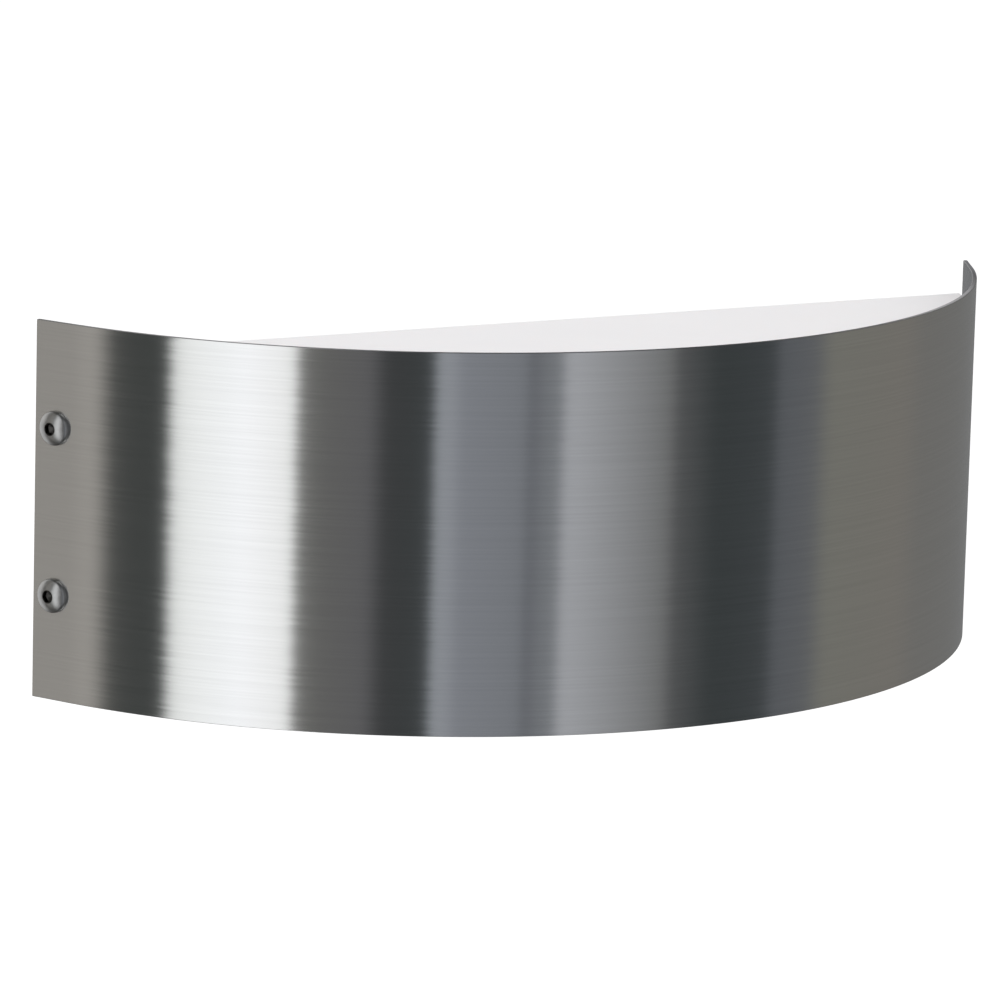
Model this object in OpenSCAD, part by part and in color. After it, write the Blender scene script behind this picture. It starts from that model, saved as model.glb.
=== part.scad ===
// Half-round up-and-down LED wall light, in millimetres.
// The wall is the plane Y = 0 and the front points to -Y. X runs along the wall and Z is up,
// with the origin in the middle of the face that lies on the wall.

/* [Shield] */
// Overall width over the outside of the sheet
shield_w = 300; // [280:1:340]
// Height of the sheet
shield_h = 105; // [100:1:140]
// Projection from the wall to the front of the curve
shield_d = 103; // [92:1:112]
// Thickness of the stainless sheet
shield_t = 1.2; // [0.8:0.1:2]
// Length of the flat stretch at each end
tab_l = 12; // [11:0.5:16]
// Gap between the wall and the sheet's back edges
wall_gap = 1; // [0.8:0.1:1.5]

/* [Shield screws] */
// Thread diameter
shield_screw_d = 5; // [4:0.5:6]
// Length under the head
shield_screw_l = 8; // [7:0.5:10]
// Diameter of the button head
button_d = 9.5; // [8:0.1:11]
// Height of the button head
button_h = 2.75; // [2:0.05:3.3]
// Width of the hexagon socket across its flats
hex_w = 3; // [2.5:0.5:4]
// Depth of the hexagon socket
hex_depth = 1.6; // [1:0.1:1.9]
// Distance from the end of the sheet to the screws or the hooks, along the sheet
shield_screw_edge = 7; // [6:0.5:8]
// Height between the two screws, and between the two hooks
shield_screw_pitch = 46.5; // [42:0.5:56]

/* [Shield hooks] */
// Thickness of the hooks that the base's right end has for the sheet
hook_t = 2; // [1.5:0.1:2.5]
// Height of the hooks
hook_h = 10; // [8:0.5:11]
// How far a hook's tip reaches over the sheet
hook_tip = 0.8; // [0.5:0.1:1]
// How far the hooks stand out of the sheet
hook_rise = 0.6; // [0.4:0.1:1]
// Gap between a hook and the sheet
hook_fit = 0.1; // [0.05:0.05:0.2]

/* [Wall base] */
// Depth of the cast pan
base_d = 14; // [12:0.5:18]
// Thickness of its rim
base_rim_t = 3; // [2.5:0.5:4]
// Thickness of its back
base_back_t = 3; // [2.5:0.5:4]
// Gap between the pan's ends and the inside of the shield
base_fit = 0.3; // [0.1:0.1:0.6]
// Diameter of the pads that take the shield's screws and carry its hooks
pad_d = 12; // [10:0.5:14]
// Length of those pads, in from the pan's ends
pad_l = 9; // [8:0.5:10]
// Height of the bosses that carry the channel, over the pan's back
standoff_h = 5; // [4.5:0.5:7]
// Diameter of those bosses
standoff_d = 9; // [8:0.5:11]
// Distance from the slots to the nearer rib on the pan's back, and on to the next
rib_pitch = 24; // [22:1:28]
// Thickness of the ribs
rib_t = 2; // [1.5:0.5:3]
// Height of the ribs
rib_h = 4; // [3:0.5:4]
// Width of the slots for the wall screws
slot_w = 5.5; // [4.5:0.5:6.5]
// Length of those slots, end to end
slot_l = 12; // [9:0.5:14]
// Distance from each end of the shield to the slots' middle
slot_inset = 50; // [46:1:54]
// Height between the two rows of slots
slot_pitch = 50; // [46:1:52]

/* [Wall gasket] */
// Width of the foam strip
gasket_w = 5; // [3:0.5:6]
// Thickness of the foam strip when pressed to the wall
gasket_t = 1.5; // [1:0.1:1.8]
// Distance from the base's upper and lower edges to the strip
gasket_edge = 3; // [2.5:0.5:4]
// Distance from the base's ends to the strip
gasket_end = 13; // [12:1:18]
// Outer radius of the strip's corners
gasket_r = 9; // [7:0.5:14]

/* [Cable entry] */
// Diameter of the cable that the grommet takes
cable_d = 8; // [6:0.5:9]
// Diameter of the hole in the base
entry_d = 20; // [18:0.5:22]
// How far the grommet's lips reach past the hole
lip_reach = 2.5; // [1.5:0.5:3]
// Thickness of the grommet's front and back lips
lip_t = 1.8; // [1.2:0.1:2]
// Length of the grommet's nose in front of its lip
nose_l = 8; // [6:0.5:10]
// Wall thickness at the root of the nose
nose_root = 3; // [2.5:0.1:4]
// Wall thickness at the tip of the nose
nose_wall = 1.5; // [1:0.1:2]
// Thickness of the base's boss round the grommet
entry_rim = 3; // [2:0.5:4]
// Gap round the nose where it passes through the channel
nose_gap = 4; // [3:0.5:6]

/* [Channel] */
// Thickness of the folded aluminium
channel_t = 2; // [1.5:0.5:3]
// Height over both shelves
channel_h = 28; // [27:0.5:30]
// Outer radius of the folds
channel_fold_r = 3; // [2.5:0.5:4]
// Gap from the edge of the shelves to the inside of the shield
channel_gap = 5.5; // [5:0.5:8]
// Distance from the middle to the outer carrier screws
channel_screw_x = 96; // [92:1:100]
// Distance from the middle to the inner carrier screws
channel_screw_inner_x = 34; // [28:1:40]

/* [Boards] */
// Width of the curved boards
board_w = 24; // [20:0.5:26]
// Thickness of the boards
board_t = 1.6; // [1:0.1:2]
// Gap from the edge of the boards to the inside of the shield
board_gap = 25; // [24:0.5:27]
// Half of the angle that a board covers, in degrees
board_angle = 45; // [40:1:47]
// Chips in each of a board's two rows
chips_per_row = 12; // [8:1:14]
// Distance between the two rows
chip_row_gap = 12; // [8:0.5:14]
// Angle from the ends of a board to its outer chips, in degrees
chip_end = 6; // [5:0.5:9]
// Length of a chip
chip_l = 3.5; // [3:0.1:4]
// Width of a chip
chip_w = 2.8; // [2:0.1:3.2]
// Height of a chip
chip_h = 0.7; // [0.5:0.1:1]
// Angle from the middle to the outer board screws
board_screw_angle = 30; // [26:1:32]
// Distance from the right end of a board to its connector
connector_end = 2.6; // [1:0.2:4]
// Length of the push-in connectors
connector_l = 5; // [4:0.5:6]
// Width of the connectors
connector_w = 8; // [7:0.5:9]
// Height of the connectors
connector_h = 4.5; // [4:0.5:6]

/* [Diffusers] */
// Depth of the plates under the shield's rims
recess = 9.5; // [7:0.5:12]
// Thickness of the plates
plate_t = 3; // [2:0.5:4]
// Gap between the plates and the inside of the shield
plate_gap = 0.6; // [0.4:0.1:1]
// Depth of the skirt, plate included
skirt_d = 8; // [7:0.5:10]
// Gap between the base's front and the ends of the skirt
skirt_gap = 1; // [0.5:0.5:3]
// Thickness of the skirt
skirt_t = 2; // [1.6:0.1:3]
// Diameter of the posts where they meet the shelves
post_d = 8; // [7:0.5:9]
// Widening of the posts towards the plate
post_draft = 1; // [0.5:0.1:1.5]
// Thickness of the gussets round the posts
gusset_t = 1.5; // [1:0.1:2]
// Reach of the gussets from the post's middle
gusset_reach = 8; // [7:0.5:9]
// Height of the gussets under the plate
gusset_h = 7; // [4:0.5:10]
// Distance from the inside of the shield to the front posts' middle
front_post_gap = 12.5; // [12:0.5:14]
// Angle from the middle to the front posts
front_post_angle = 28; // [24:1:34]
// Distance from each end of the shield to the back posts' middle
back_post_inset = 28; // [26:1:30]
// Gap between the base's front and the back posts' gussets
back_post_gap = 2; // [1.5:0.5:4]

/* [Seals] */
// Height of the rubber strip
seal_h = 2.4; // [2:0.1:3]
// Depth of its groove in the skirt
seal_groove = 1; // [0.6:0.1:1.2]
// Gap between the strip and the inside of the shield
seal_fit = 0.1; // [0.05:0.05:0.3]

/* [Driver] */
// Length of the case without its ears
driver_l = 80; // [70:1:86]
// Depth of the case
driver_w = 28; // [24:0.5:30]
// Height of the case
driver_h = 17; // [14:0.5:18]
// Length of each ear
ear_l = 8; // [7:0.5:9]
// Thickness of each ear
ear_t = 3; // [2:0.5:4]
// Distance from the cable entry's middle to the near ear
driver_offset = 12; // [12:0.5:15]
// Gap behind the case
driver_back_gap = 4; // [3.5:0.5:5]
// Radius of the case's upright edges
driver_r = 2.5; // [1:0.5:4]
// Height of the seam between its tray and its cover
driver_seam = 6.8; // [5:0.2:9]
// Inset of the cover at that seam
seam_inset = 0.5; // [0.3:0.1:0.8]
// Distance between the rows of lead holes in the end faces
row_pitch = 5.6; // [4.5:0.1:6]
// Depth of the lead holes
driver_hole = 4; // [3:0.5:6]
// Distance from the far ear to the hole in the shelf that the board leads pass through
lead_hole_gap = 6; // [5:0.5:7]

/* [Terminals] */
// Distance between poles
pole_pitch = 12; // [11.5:0.5:13]
// Depth of the block
block_w = 18; // [16:0.5:20]
// Height of the block
block_h = 14; // [12:0.5:16]
// Height of the webs between its poles
block_web_h = 6; // [4:0.5:8]
// Diameter of the brass clamp sleeves
clamp_d = 4; // [3.8:0.1:4.4]
// Distance from the shelf to the sleeves
clamp_floor = 1.6; // [1.4:0.1:2.4]
// How far the sleeves lie inside the block's front and back
clamp_inset = 2; // [1:0.5:3]
// Depth of the holes for the leads in the sleeves' ends
clamp_hole = 3.8; // [3:0.2:4.4]
// Diameter of the clamp screws
clamp_screw_d = 3.2; // [2.8:0.1:3.6]
// Distance between the two clamp screws of a pole
tower_gap = 9; // [8:0.5:10]
// Wall thickness round the clamps
block_wall = 1.2; // [1:0.1:1.4]
// Distance from the cable entry's middle to the block
block_offset = 25; // [22:0.5:28]

/* [Earth tag] */
// Distance from the middle to the earth screw
earth_x = 74; // [70:0.5:80]
// Thickness of the ring tag, and of the toothed washer under it
tag_t = 0.8; // [0.6:0.1:1]
// Outer diameter of the ring tag
tag_d = 8; // [7.5:0.5:9]
// Length of its crimp barrel
barrel_l = 7; // [5:0.5:8]
// Wall thickness of the barrel
barrel_wall = 0.7; // [0.5:0.1:1]
// Teeth on the washer
washer_teeth = 12; // [8:1:16]

/* [Screws and leads] */
// Thread diameter of the carrier and earth screws
m4_d = 4; // [3.5:0.5:5]
// Length of the carrier and earth screws
m4_l = 8; // [7:0.5:9]
// Thread diameter of the board, driver and terminal screws
m3_d = 3; // [2.5:0.5:3.5]
// Length of the board screws
board_screw_l = 4; // [3.5:0.5:5]
// How far the tips of the driver and terminal screws stay inside the shelf
m3_short = 0.2; // [0.1:0.1:0.5]
// Thread diameter of the diffuser screws
plate_screw_d = 3.5; // [3:0.5:4]
// Length of the diffuser screws
plate_screw_l = 12; // [10:1:16]
// Blind tapped holes run this far past the tips of their screws
hole_past = 0.8; // [0.4:0.1:1]
// Outer diameter of the leads
lead_d = 2.2; // [1.8:0.1:2.6]
// Radius that the leads are bent to at the tightest
lead_bend = 6; // [5:0.5:7]

/* [Fits] */
// Wider than the thread: holes that a screw passes through
screw_play = 0.5; // [0.3:0.1:0.8]
// Wider than the thread: holes that a screw is turned into
thread_play = 0.1; // [0.06:0.02:0.2]
// Wider than the grommet's neck or the foam strip: the hole or groove for it
soft_play = 0.1; // [0.06:0.02:0.3]

/* [Hidden] */

// The flat ends are tangent to the curve, so the bend angle and the radius follow from three sizes.
bend = 2 * atan((shield_d - wall_gap) / (shield_w / 2 + tab_l));
shield_r = (shield_w / 2 - tab_l * cos(bend)) / sin(bend);
axis_y = shield_r - shield_d;

// Levels of the plates, the base and the shelves
plate_top = shield_h / 2 - recess;
seat_z = plate_top - plate_t;
shelf_z = channel_h / 2;
shelf_in = shelf_z - channel_t;

// How far each piece's outline lies inside the outer face of the shield
base_inset = shield_t + base_fit;
plate_inset = shield_t + plate_gap;
channel_inset = shield_t + channel_gap;

// Places along the depth, as distances from the wall
web_back = base_back_t + standoff_h;
web_front = web_back + channel_t;
skirt_back = base_d + skirt_gap;
driver_back = web_front + driver_back_gap;
entry_recess = lip_t + soft_play;

// Places along the width
slot_x = shield_w / 2 - slot_inset;
back_post_x = shield_w / 2 - back_post_inset;
back_post_y = base_d + back_post_gap + gusset_reach;
rib_xs = [slot_x - rib_pitch, slot_x - 2 * rib_pitch];

// Boards and posts share the shield's axis
board_r = shield_r - shield_t - board_gap;
board_mid_r = board_r - board_w / 2;
front_post_r = shield_r - shield_t - front_post_gap;
board_top = shelf_z + board_t;
connector_angle = board_angle - (connector_end + connector_l / 2) / board_mid_r * 180 / PI;

// The seal's lower face: its strip sits in the middle of the skirt's free part
seal_z = (seat_z + plate_top - skirt_d - seal_h) / 2;

// Middle of the driver in plan, and the level of its leads
driver_mid_x = driver_offset + ear_l + driver_l / 2;
driver_mid_y = -driver_back - driver_w / 2;
driver_lead_z = (driver_h + driver_seam) / 2 - shelf_in;

// Rows of lead holes in the driver's end faces: two on the mains side, four on the boards' side
mains_rows = [-1, 1];
board_rows = [-1.5, -0.5, 0.5, 1.5];

// Middle of the terminal block in plan, and the level of its clamps over the shelf
block_mid_x = -block_offset - 1.5 * pole_pitch;
block_mid_y = -driver_back - block_w / 2;
clamp_z = clamp_floor + clamp_d / 2;
clamp_l = block_w - 2 * clamp_inset;

// Hole in each shelf for the leads to its board, and the crimp barrel that fits a lead
lead_hole = [driver_mid_x + driver_l / 2 + ear_l + lead_hole_gap, driver_mid_y - 1.1 * row_pitch];
lead_hole_d = 3.5 * lead_d;
barrel_d = lead_d + 2 * barrel_wall;

// Heads of the small screws, as shares of the thread
pan_head = 2;
pan_height = 0.65;

// Facets on big curves, small round parts and swept leads
$fn = 48;
big_fn = 240;
lead_sides = 8;
lead_steps = 3;
// Cuts run this far past the faces that they open
over = 1;
// The flat ends run this far into the curve where they meet it, so that the two always cross
corner_sink = 0.02;

// Where the curve meets the right flat end, on the outer face drawn in by inset
function tangent_point(inset) =
  [(shield_r - inset) * sin(bend), axis_y - (shield_r - inset) * cos(bend)];

// Half of the width at the distance back from the wall, on the outer face drawn in by inset
function inside_half(inset, back) =
  let (tangent = tangent_point(inset))
  tangent[0] - (back + tangent[1]) / tan(bend);

// All that lies inside the shield from level z0 to z1: its outer face drawn in by inset, with
// a flat back at the distance back from the wall, less what is nearer the wall than keep_from.
module inside_slab(inset, back, z0, z1, keep_from = -shield_d) {
  corner = tangent_point(inset + corner_sink);
  half = inside_half(inset, back);
  intersection() {
    translate([0, 0, z0])
      union() {
        linear_extrude(z1 - z0)
          polygon([[-half, -back], [half, -back], corner, [-corner[0], corner[1]]]);
        translate([0, axis_y, 0])
          cylinder(h = z1 - z0, r = shield_r - inset, $fn = big_fn);
      }
    translate([-shield_w, -2 * shield_d, z0 - over])
      cube([2 * shield_w, 2 * shield_d - max(back, keep_from), z1 - z0 + 2 * over]);
  }
}

// Frame on the outer face of the flat ends, 0 the right and 1 the left: -X along the sheet to
// the curve, +Y into the sheet
module on_tabs(sides = [0, 1]) {
  for (side = sides)
    mirror([side, 0, 0])
      translate([shield_w / 2, -wall_gap, 0])
        rotate([0, 0, bend])
          children();
}

// Frame at each place where an end is held, +X along the sheet to its end and +Z out of it
module at_holds(sides = [0, 1]) {
  on_tabs(sides)
    for (z = [-1, 1] * shield_screw_pitch / 2)
      translate([-shield_screw_edge, 0, z])
        rotate([90, 0, 0])
          children();
}

module at_shield_screws() {
  at_holds([1])
    children();
}

module at_hooks() {
  at_holds([0])
    children();
}

// Frame at each wall slot, +Z out of the wall
module at_slots() {
  for (x = [-1, 1] * slot_x, z = [-1, 1] * slot_pitch / 2)
    translate([x, 0, z])
      rotate([90, 0, 0])
        children();
}

// Frame on the wall line at each carrier screw, +Z out of the wall
module at_carrier_screws() {
  for (x = [-channel_screw_x, -channel_screw_inner_x, channel_screw_inner_x, channel_screw_x])
    translate([x, 0, 0])
      rotate([90, 0, 0])
        children();
}

module at_earth_screw() {
  translate([-earth_x, 0, 0])
    rotate([90, 0, 0])
      children();
}

// Places of a diffuser's posts in plan
module at_posts() {
  for (side = [-1, 1]) {
    translate([0, axis_y, 0])
      rotate([0, 0, side * front_post_angle])
        translate([0, -front_post_r, 0])
          children();
    translate([side * back_post_x, -back_post_y, 0])
      children();
  }
}

// Places on a circle round the shield's axis, by angle from the front, with +Y towards the front
module on_arc(r, angle) {
  translate([0, axis_y, 0])
    rotate([0, 0, angle])
      translate([0, -r, 0])
        rotate([0, 0, 180])
          children();
}

// Above and below: draws its children once as they are and once mirrored in the plane Z = 0
module both_sides() {
  children();
  mirror([0, 0, 1])
    children();
}

module rounded_rect(w, h, r) {
  square([w, h - 2 * r], center = true);
  square([w - 2 * r, h], center = true);
  for (x = [-1, 1] * (w / 2 - r), y = [-1, 1] * (h / 2 - r))
    translate([x, y])
      circle(r);
}

module slot_hole(w, l, h) {
  for (x = [-1, 1] * (l - w) / 2)
    translate([x, 0, 0])
      cylinder(h = h, d = w, center = true);
  cube([l - w, w, h], center = true);
}

// Button-head screw with a hexagon socket: head above Z = 0, shank below
module button_screw(d, l) {
  rim = 0.3;
  dome_h = button_h - rim;
  dome_r = (pow(button_d / 2, 2) + pow(dome_h, 2)) / (2 * dome_h);
  difference() {
    union() {
      rotate_extrude()
        intersection() {
          translate([0, button_h - dome_r])
            circle(dome_r, $fn = 96);
          square([button_d / 2, button_h]);
        }
      translate([0, 0, -l])
        cylinder(h = l, d = d);
    }
    translate([0, 0, button_h - hex_depth])
      cylinder(h = hex_depth + over, d = hex_w / cos(30), $fn = 6);
  }
}

// Pan-head screw with a cross recess: head above Z = 0, shank below
module pan_screw(d, l) {
  head_d = pan_head * d;
  head_h = pan_height * d;
  difference() {
    union() {
      cylinder(h = head_h * 0.5, d = head_d);
      translate([0, 0, head_h * 0.5])
        cylinder(h = head_h * 0.5, d1 = head_d, d2 = head_d * 0.72);
      translate([0, 0, -l])
        cylinder(h = l, d = d);
    }
    translate([0, 0, head_h * 0.45])
      for (turn = [0, 90])
        rotate([0, 0, turn])
          translate([-head_d * 0.28, -d * 0.1, 0])
            cube([head_d * 0.56, d * 0.2, head_h]);
  }
}

// Rolled sheet, with a flat stretch at each end that is tangent to the curve
module shield() {
  color("#b4b6b8")
    difference() {
      inside_slab(0, -shield_t, -shield_h / 2, shield_h / 2);
      inside_slab(shield_t, -2 * shield_t, -shield_h / 2 - over, shield_h / 2 + over);
      on_tabs()
        translate([0, -over, -shield_h / 2 - over])
          cube([3 * shield_t, 4 * shield_t, shield_h + 2 * over]);
      at_shield_screws()
        translate([0, 0, -shield_t - over])
          cylinder(h = shield_t + 2 * over, d = shield_screw_d + screw_play);
      at_hooks()
        hook_slot();
    }
}

// Slot that a hook and its tip pass through before the sheet is drawn to the left
module hook_slot() {
  l = hook_t + hook_tip + 2 * hook_fit;
  h = hook_h + screw_play;
  translate([hook_t / 2 + hook_fit - l, -h / 2, -shield_t - over])
    cube([l, h, shield_t + 2 * over]);
}

// The two screws at the left end
module shield_screws() {
  color("#8e8d8a")
    at_shield_screws()
      button_screw(shield_screw_d, shield_screw_l);
}

// Cast pan: its slanted ends lie inside the shield's flat ends, and its open side faces the room
module wall_base() {
  pad_hole = shield_screw_l - base_inset + hole_past;
  boss_d = entry_d + 2 * lip_reach + 2 * entry_rim;
  color("#c9cbcd")
    difference() {
      union() {
        difference() {
          pan_block();
          pan_hollow();
        }
        intersection() {
          pan_block();
          at_holds()
            translate([0, 0, -base_inset - pad_l])
              cylinder(h = pad_l, d = pad_d);
        }
        at_hooks()
          hook();
        at_carrier_screws()
          cylinder(h = web_back, d = standoff_d);
        at_earth_screw()
          cylinder(h = web_back, d = standoff_d);
        rotate([90, 0, 0])
          cylinder(h = entry_recess + base_back_t, d = boss_d);
        for (side = [-1, 1], x = rib_xs)
          translate([side * x - rib_t / 2, -base_back_t - rib_h, -seat_z + base_rim_t / 2])
            cube([rib_t, rib_h + base_back_t / 2, 2 * seat_z - base_rim_t]);
      }
      at_shield_screws()
        translate([0, 0, -base_inset - pad_hole])
          cylinder(h = pad_hole + over, d = shield_screw_d + thread_play);
      at_carrier_screws()
        boss_hole();
      at_earth_screw()
        boss_hole();
      at_slots()
        slot_hole(slot_w, slot_l, 4 * base_back_t);
      rotate([90, 0, 0]) {
        translate([0, 0, -over])
          cylinder(h = entry_recess + over, d = entry_d + 2 * lip_reach + screw_play);
        cylinder(h = base_d, d = entry_d);
      }
      gasket_ring(soft_play, over);
    }
}

// Hook on a pad: its stem goes through the sheet, and its tip lies over the sheet
module hook() {
  root = base_inset + base_rim_t / 2;
  translate([-hook_t / 2, -hook_h / 2, -root])
    cube([hook_t, hook_h, root + hook_rise]);
  translate([-hook_t / 2, -hook_h / 2, hook_fit])
    cube([hook_t + hook_tip, hook_h, hook_rise - hook_fit]);
}

module pan_block() {
  intersection() {
    inside_slab(base_inset, 0, -seat_z, seat_z);
    translate([-shield_w, -base_d, -shield_h])
      cube([2 * shield_w, base_d, 2 * shield_h]);
  }
}

module pan_hollow() {
  inside_slab(base_inset + base_rim_t, base_back_t, -seat_z + base_rim_t, seat_z - base_rim_t);
}

// Tapped hole from the top of a boss
module boss_hole() {
  translate([0, 0, web_front - m4_l - hole_past])
    cylinder(h = m4_l, d = m4_d + thread_play);
}

// Ring of the wall gasket, wider by play and reaching past the wall by extra
module gasket_ring(play, extra) {
  w = 2 * (inside_half(base_inset, 0) - gasket_end);
  h = 2 * (seat_z - gasket_edge);
  inner = 2 * gasket_w + play;
  translate([0, extra, 0])
    rotate([90, 0, 0])
      linear_extrude(gasket_t + extra)
        difference() {
          rounded_rect(w + play, h + play, gasket_r + play / 2);
          rounded_rect(w - inner, h - inner, gasket_r - inner / 2);
        }
}

module wall_gasket() {
  color("#2b2c2e")
    gasket_ring(0, 0);
}

// Rubber grommet, turned about the cable: a lip each side of the wall, and a tapered nose
module cable_grommet() {
  lip_r = entry_d / 2 + lip_reach;
  neck_r = (entry_d - soft_play) / 2;
  back = entry_recess;
  front = back + base_back_t;
  bore_r = cable_d / 2;
  tip = front + lip_t + nose_l;
  color("#232426")
    rotate([90, 0, 0])
      rotate_extrude()
        polygon([
          [bore_r + nose_wall, back - lip_t], [lip_r, back - lip_t], [lip_r, back], [neck_r, back],
          [neck_r, front], [lip_r, front], [lip_r, front + lip_t], [bore_r + nose_root, front + lip_t],
          [bore_r + nose_wall, tip], [bore_r, tip], [bore_r, back]
        ]);
}

// Folded channel: a web on the base's bosses and two shelves whose edges follow the shield
module led_carrier() {
  reach = shield_d;
  color("#d5d8da")
    difference() {
      intersection() {
        inside_slab(channel_inset, web_back, -shelf_z, shelf_z);
        translate([0, -web_back, 0])
          rotate([90, 0, 90])
            linear_extrude(2 * shield_w, center = true)
              difference() {
                channel_side(channel_h, reach, channel_fold_r);
                translate([-channel_t, 0])
                  channel_side(channel_h - 2 * channel_t, reach, channel_fold_r - channel_t);
              }
      }
      at_carrier_screws()
        cylinder(h = web_front + over, d = m4_d + screw_play);
      at_earth_screw()
        cylinder(h = web_front + over, d = m4_d + screw_play);
      rotate([90, 0, 0])
        cylinder(h = web_front + over, d = cable_d + 2 * nose_root + 2 * nose_gap);
      both_sides() {
        at_posts()
          shelf_hole(plate_screw_d + screw_play);
        at_board_screws()
          shelf_hole(m3_d + thread_play);
        translate(lead_hole)
          shelf_hole(lead_hole_d);
      }
      mirror([0, 0, 1]) {
        at_driver_ears()
          shelf_hole(m3_d + thread_play);
        at_block_screws()
          shelf_hole(m3_d + thread_play);
      }
    }
}

// Side view of the channel: open to -X, with the two corners at X = 0 rounded
module channel_side(h, reach, r) {
  translate([-reach, -h / 2])
    square([reach - r, h]);
  translate([-r, -h / 2 + r])
    square([r, h - 2 * r]);
  for (side = [-1, 1])
    translate([-r, side * (h / 2 - r)])
      circle(r);
}

module shelf_hole(d) {
  translate([0, 0, shelf_in - over])
    cylinder(h = channel_t + 2 * over, d = d);
}

module carrier_screws() {
  color("#a9abad")
    at_carrier_screws()
      translate([0, 0, web_front])
        pan_screw(m4_d, m4_l);
}

// Moulded opal plate: flat outside, with a skirt, a groove for the seal and four posts inside
module diffuser() {
  skirt_z = plate_top - skirt_d;
  inner = plate_inset + skirt_t;
  difference() {
    union() {
      inside_slab(plate_inset, wall_gap, seat_z, plate_top);
      difference() {
        inside_slab(plate_inset, wall_gap, skirt_z, seat_z, skirt_back);
        inside_slab(inner, wall_gap, skirt_z - over, seat_z);
      }
      at_posts()
        diffuser_post();
    }
    difference() {
      inside_slab(plate_inset - over, wall_gap, seal_z, seal_z + seal_h + soft_play, skirt_back - over);
      inside_slab(plate_inset + seal_groove, wall_gap, seal_z - over, seal_z + seal_h + 2 * over);
    }
    at_posts()
      translate([0, 0, shelf_z - over])
        cylinder(h = plate_screw_l - channel_t + 2 * over, d = plate_screw_d + thread_play);
  }
}

module diffuser_post() {
  translate([0, 0, shelf_z])
    cylinder(h = seat_z - shelf_z, d1 = post_d, d2 = post_d + post_draft);
  for (turn = [0, 90])
    rotate([0, 0, turn])
      translate([-gusset_reach, -gusset_t / 2, seat_z - gusset_h])
        cube([2 * gusset_reach, gusset_t, gusset_h]);
}

module upper_diffuser() {
  color("#f2f3f3")
    diffuser();
}

module lower_diffuser() {
  color("#f2f3f3")
    mirror([0, 0, 1])
      diffuser();
}

// Rubber strip in the groove of a skirt
module seal() {
  difference() {
    inside_slab(shield_t + seal_fit, wall_gap, seal_z, seal_z + seal_h, skirt_back);
    inside_slab(plate_inset + seal_groove - soft_play, wall_gap, seal_z - over, seal_z + seal_h + over);
  }
}

module upper_seal() {
  color("#303133")
    seal();
}

module lower_seal() {
  color("#303133")
    mirror([0, 0, 1])
      seal();
}

module diffuser_screws() {
  color("#a9abad")
    both_sides()
      at_posts()
        translate([0, 0, shelf_in])
          mirror([0, 0, 1])
            pan_screw(plate_screw_d, plate_screw_l);
}

module at_board_screws() {
  for (angle = [-1, 0, 1] * board_screw_angle)
    on_arc(board_mid_r, angle)
      children();
}

// Curved board that lies on a shelf
module led_board() {
  difference() {
    translate([0, axis_y, shelf_z])
      rotate_extrude(angle = 2 * board_angle, start = 270 - board_angle, $fn = big_fn)
        translate([board_r - board_w, 0])
          square([board_w, board_t]);
    at_board_screws()
      translate([0, 0, shelf_z - over])
        cylinder(h = board_t + 2 * over, d = m3_d + screw_play);
  }
}

module upper_led_board() {
  color("#eef0ee")
    led_board();
}

module lower_led_board() {
  color("#eef0ee")
    mirror([0, 0, 1])
      led_board();
}

// Two rows of chips, evenly spaced between the outer edge of the board and its connector
module led_chips() {
  span = 2 * (board_angle - chip_end);
  for (row = [-1, 1] * chip_row_gap / 2, i = [0 : chips_per_row - 1])
    on_arc(board_mid_r + row, span * (i / (chips_per_row - 1) - 0.5))
      led_chip();
}

module led_chip() {
  cup_depth = chip_h * 0.3;
  translate([0, 0, shelf_z + board_t])
    difference() {
      translate([-chip_l / 2, -chip_w / 2, 0])
        cube([chip_l, chip_w, chip_h]);
      translate([0, 0, chip_h - cup_depth])
        cylinder(h = chip_h, d = chip_w * 0.75, $fn = 24);
    }
}

module upper_led_chips() {
  color("#f3e3a0")
    led_chips();
}

module lower_led_chips() {
  color("#f3e3a0")
    mirror([0, 0, 1])
      led_chips();
}

module board_screws() {
  color("#a9abad")
    both_sides()
      at_board_screws()
        translate([0, 0, shelf_z + board_t])
          pan_screw(m3_d, board_screw_l);
}

// Push-in connectors at the boards' right ends, with the holes for the leads facing outwards
module board_connectors() {
  color("#f6f6f4")
    both_sides()
      on_arc(board_mid_r, connector_angle)
        translate([0, 0, board_top])
          difference() {
            translate([-connector_l / 2, -connector_w / 2, 0])
              cube([connector_l, connector_w, connector_h]);
            for (y = [-1, 1] * connector_w / 4)
              translate([-connector_l / 2 - over, y, connector_h / 2])
                rotate([0, 90, 0])
                  cylinder(h = connector_l / 2 + over, d = lead_d + screw_play);
          }
}

module at_driver_ears() {
  for (side = [-1, 1])
    translate([driver_mid_x + side * (driver_l + ear_l) / 2, driver_mid_y, 0])
      children();
}

// Tray of the driver, with an ear and a screw hole at each end
module driver_case() {
  color("#f4f4f2")
    difference() {
      translate([driver_mid_x, driver_mid_y, -shelf_in]) {
        linear_extrude(driver_seam)
          rounded_rect(driver_l, driver_w, driver_r);
        linear_extrude(ear_t)
          rounded_rect(driver_l + 2 * ear_l, driver_w * 0.5, driver_r);
      }
      at_driver_ears()
        translate([0, 0, -shelf_in - over])
          cylinder(h = ear_t + 2 * over, d = m3_d + screw_play);
    }
}

// Cover of the driver: drawn in along the seam, with holes for the leads in both end faces
module driver_cover() {
  lip = 2 * seam_inset;
  color("#ffffff")
    difference() {
      translate([driver_mid_x, driver_mid_y, driver_seam - shelf_in]) {
        linear_extrude(lip)
          rounded_rect(driver_l - lip, driver_w - lip, driver_r);
        translate([0, 0, lip])
          linear_extrude(driver_h - driver_seam - lip)
            rounded_rect(driver_l, driver_w, driver_r);
      }
      for (row = mains_rows)
        driver_lead_hole(-1, row);
      for (row = board_rows)
        driver_lead_hole(1, row);
    }
}

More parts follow.
